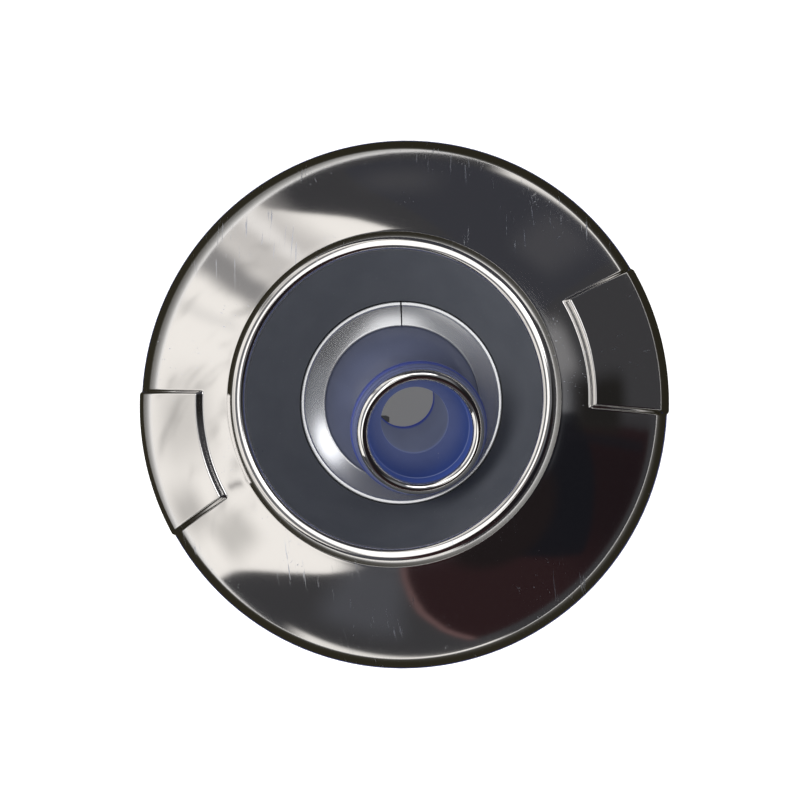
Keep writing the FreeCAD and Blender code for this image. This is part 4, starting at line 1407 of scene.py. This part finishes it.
    def build_world(self) -> None:
        """White for the camera, even light for matt surfaces, and the panels for polished ones."""
        world = bpy.data.worlds.new("studio")
        bpy.context.scene.world = world
        world.use_nodes = True
        shading = Shading(world.node_tree)
        view = shading.out(shading.node("ShaderNodeTexCoord"), "Generated")
        x, y, z = shading.split(view)
        degree = 180.0 / math.pi
        azimuth = shading.maths("WRAP", shading.maths("ARCTAN2", y, x) * degree, 360.0, 0.0)
        elevation = shading.maths("ARCSINE", shading.maths("MINIMUM", z, 0.9999)) * degree
        wobble = shading.noise(shading.vector(azimuth * 0.05, elevation * 0.06, 0.0), 1.0, 2.0) - 0.5
        azimuth = azimuth + wobble * 2.5
        colour: object = self.room
        for patch in self.patches:
            mask = self.patch_mask(shading, azimuth, elevation, patch)
            colour = shading.mix(mask, colour, patch.colour)
        place = shading.vector(azimuth * 0.13 + elevation * 0.05, elevation * 0.035, 3.0)
        folds = shading.smooth(shading.noise(place, 1.0, 2.5, 0.55), 0.50, 0.70)
        folds = self.patch_mask(shading, azimuth, elevation, self.fold_area) * folds
        colour = shading.mix(folds, colour, self.fold_colour)
        colour = shading.mix(self.strip.mask(shading, x, y), colour, self.strip.colour)
        for spot in self.spots:
            toward = direction(spot.azimuth, spot.elevation)
            inputs = {0: view, 1: tuple(toward)}
            dot = shading.node("ShaderNodeVectorMath", {"operation": "DOT_PRODUCT"}, inputs)
            edge = math.cos(math.radians(spot.size))
            mask = shading.smooth(shading.out(dot, "Value"), edge, (1.0 + edge) / 2.0)
            colour = shading.mix(mask, colour, spot.colour)
        rays = shading.node("ShaderNodeLightPath")
        camera, through = shading.out(rays, "Is Camera Ray"), shading.out(rays, "Is Transmission Ray")
        seen = shading.maths("MAXIMUM", camera, through)
        even = shading.mix(shading.out(rays, "Is Glossy Ray"), grey(self.even), colour)
        final = shading.mix(seen, even, grey(1.0))
        back = shading.node("ShaderNodeBackground", None, {"Color": final, "Strength": 1.0})
        shading.node("ShaderNodeOutputWorld", None, {0: back.outputs[0]})

    def build_floor(self) -> None:
        """A pale floor that looks white and keeps the object's shadow, with painted shade under the tail and
        a painted dark floor near the object in reflections.
        """
        size = 3.0
        corners = [(-size, -size, 0.0), (size, -size, 0.0), (size, size, 0.0), (-size, size, 0.0)]
        floor = new_piece("floor", [Vector(c) for c in corners], [(0, 1, 2, 3)])
        made = Material("pale_floor")
        shade = made.smooth(made.radius, *self.tail_shade)
        far = made.smooth(made.radius, self.shade_start, self.shade_end)
        made.tree.nodes.remove(made.shader)
        lit = made.node("ShaderNodeBsdfDiffuse", None, {"Color": grey(0.8)})
        # painted shade under the tail
        pale = made.mix(shade, grey(0.13), grey(0.75))
        glow = made.node("ShaderNodeEmission", None, {"Color": pale, "Strength": 1.0})
        rays = made.node("ShaderNodeLightPath")
        seen = made.maths("MAXIMUM", made.out(rays, "Is Camera Ray"), made.out(rays, "Is Transmission Ray"))
        seen = made.maths("MAXIMUM", seen, made.out(rays, "Is Glossy Ray") * far)
        both = made.node("ShaderNodeAddShader", None, {0: lit.outputs[0], 1: glow.outputs[0]})
        # painted shade: a dark floor near the object, for glossy rays
        dark = made.node("ShaderNodeBsdfDiffuse", None, {"Color": self.near_floor_painted_shade})
        glossy = made.out(rays, "Is Glossy Ray")
        near = made.node("ShaderNodeMixShader", None, {0: glossy, 1: lit.outputs[0], 2: dark.outputs[0]})
        mixed = made.node("ShaderNodeMixShader", None, {0: seen, 1: near.outputs[0], 2: both.outputs[0]})
        made.feed(made.output.inputs[0], mixed.outputs[0])
        dress(floor, made.material)

    def add_lamp(
        self, name: str, azimuth: float, elevation: float, distance: float, size: float, watts: float
    ) -> None:
        """An area light that points at the object.

        Args:
            name: The light's name.
            azimuth: Degrees from +X toward +Y.
            elevation: Degrees above the horizon.
            distance: Metres from the object.
            size: Side in metres.
            watts: Power.
        """
        data = bpy.data.lights.new(name, "AREA")
        data.shape = "SQUARE"
        data.size = size
        data.energy = watts
        lamp = bpy.data.objects.new(name, data)
        away = direction(azimuth, elevation)
        lamp.location = self.target + away * distance
        lamp.rotation_euler = away.to_track_quat("Z", "Y").to_euler()
        lamp.visible_glossy = False
        lamp.visible_camera = False
        bpy.context.scene.collection.objects.link(lamp)

    def build_camera(self) -> None:
        """Looks down the jet axis, tilted a little to the lower right, with +Y up in the picture."""
        back = direction(self.azimuth, 90.0 - self.tilt)
        right = Vector((0.0, 1.0, 0.0)).cross(back).normalized()
        up = back.cross(right)
        data = bpy.data.cameras.new("camera")
        data.sensor_width = self.sensor
        data.lens = self.sensor * self.distance / self.frame_width
        camera = bpy.data.objects.new("camera", data)
        rotation = Matrix((right, up, back)).transposed().to_4x4()
        camera.matrix_world = Matrix.Translation(self.target + back * self.distance) @ rotation
        bpy.context.scene.collection.objects.link(camera)
        bpy.context.scene.camera = camera

    def build(self) -> None:
        """Makes the whole studio."""
        self.build_world()
        self.build_floor()
        self.add_lamp("key", 170.0, 40.0, 0.9, 0.6, 4.0)
        self.add_lamp("top", 300.0, 60.0, 0.9, 0.4, 2.5)
        self.build_camera()
        bpy.context.scene.view_settings.view_transform = "Standard"


def tilt_joint() -> dict:
    """The joint that tilts the nozzle."""
    return next(joint for joint in frame["joints"] if joint["name"] == "nozzle_tilt")


def main() -> None:
    """Builds the pieces in order and the studio round them."""
    logging.basicConfig(level=logging.INFO, format="%(name)s: %(message)s")
    joint = tilt_joint()
    pivot = Vector(joint["pos_m"])
    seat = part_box("funnel")[0].z / MM
    Escutcheon(seat).build()
    Funnel(seat).build()
    SocketRing(seat, pivot.z / MM).build()
    Nozzle(pivot, Vector(joint["axis"])).build()
    Screws(seat).build()
    Internals().dress_all()
    Studio(Vector((-0.00014, 0.0006, (seat + 2.8) * MM))).build()


if __name__ == "__main__":
    main()
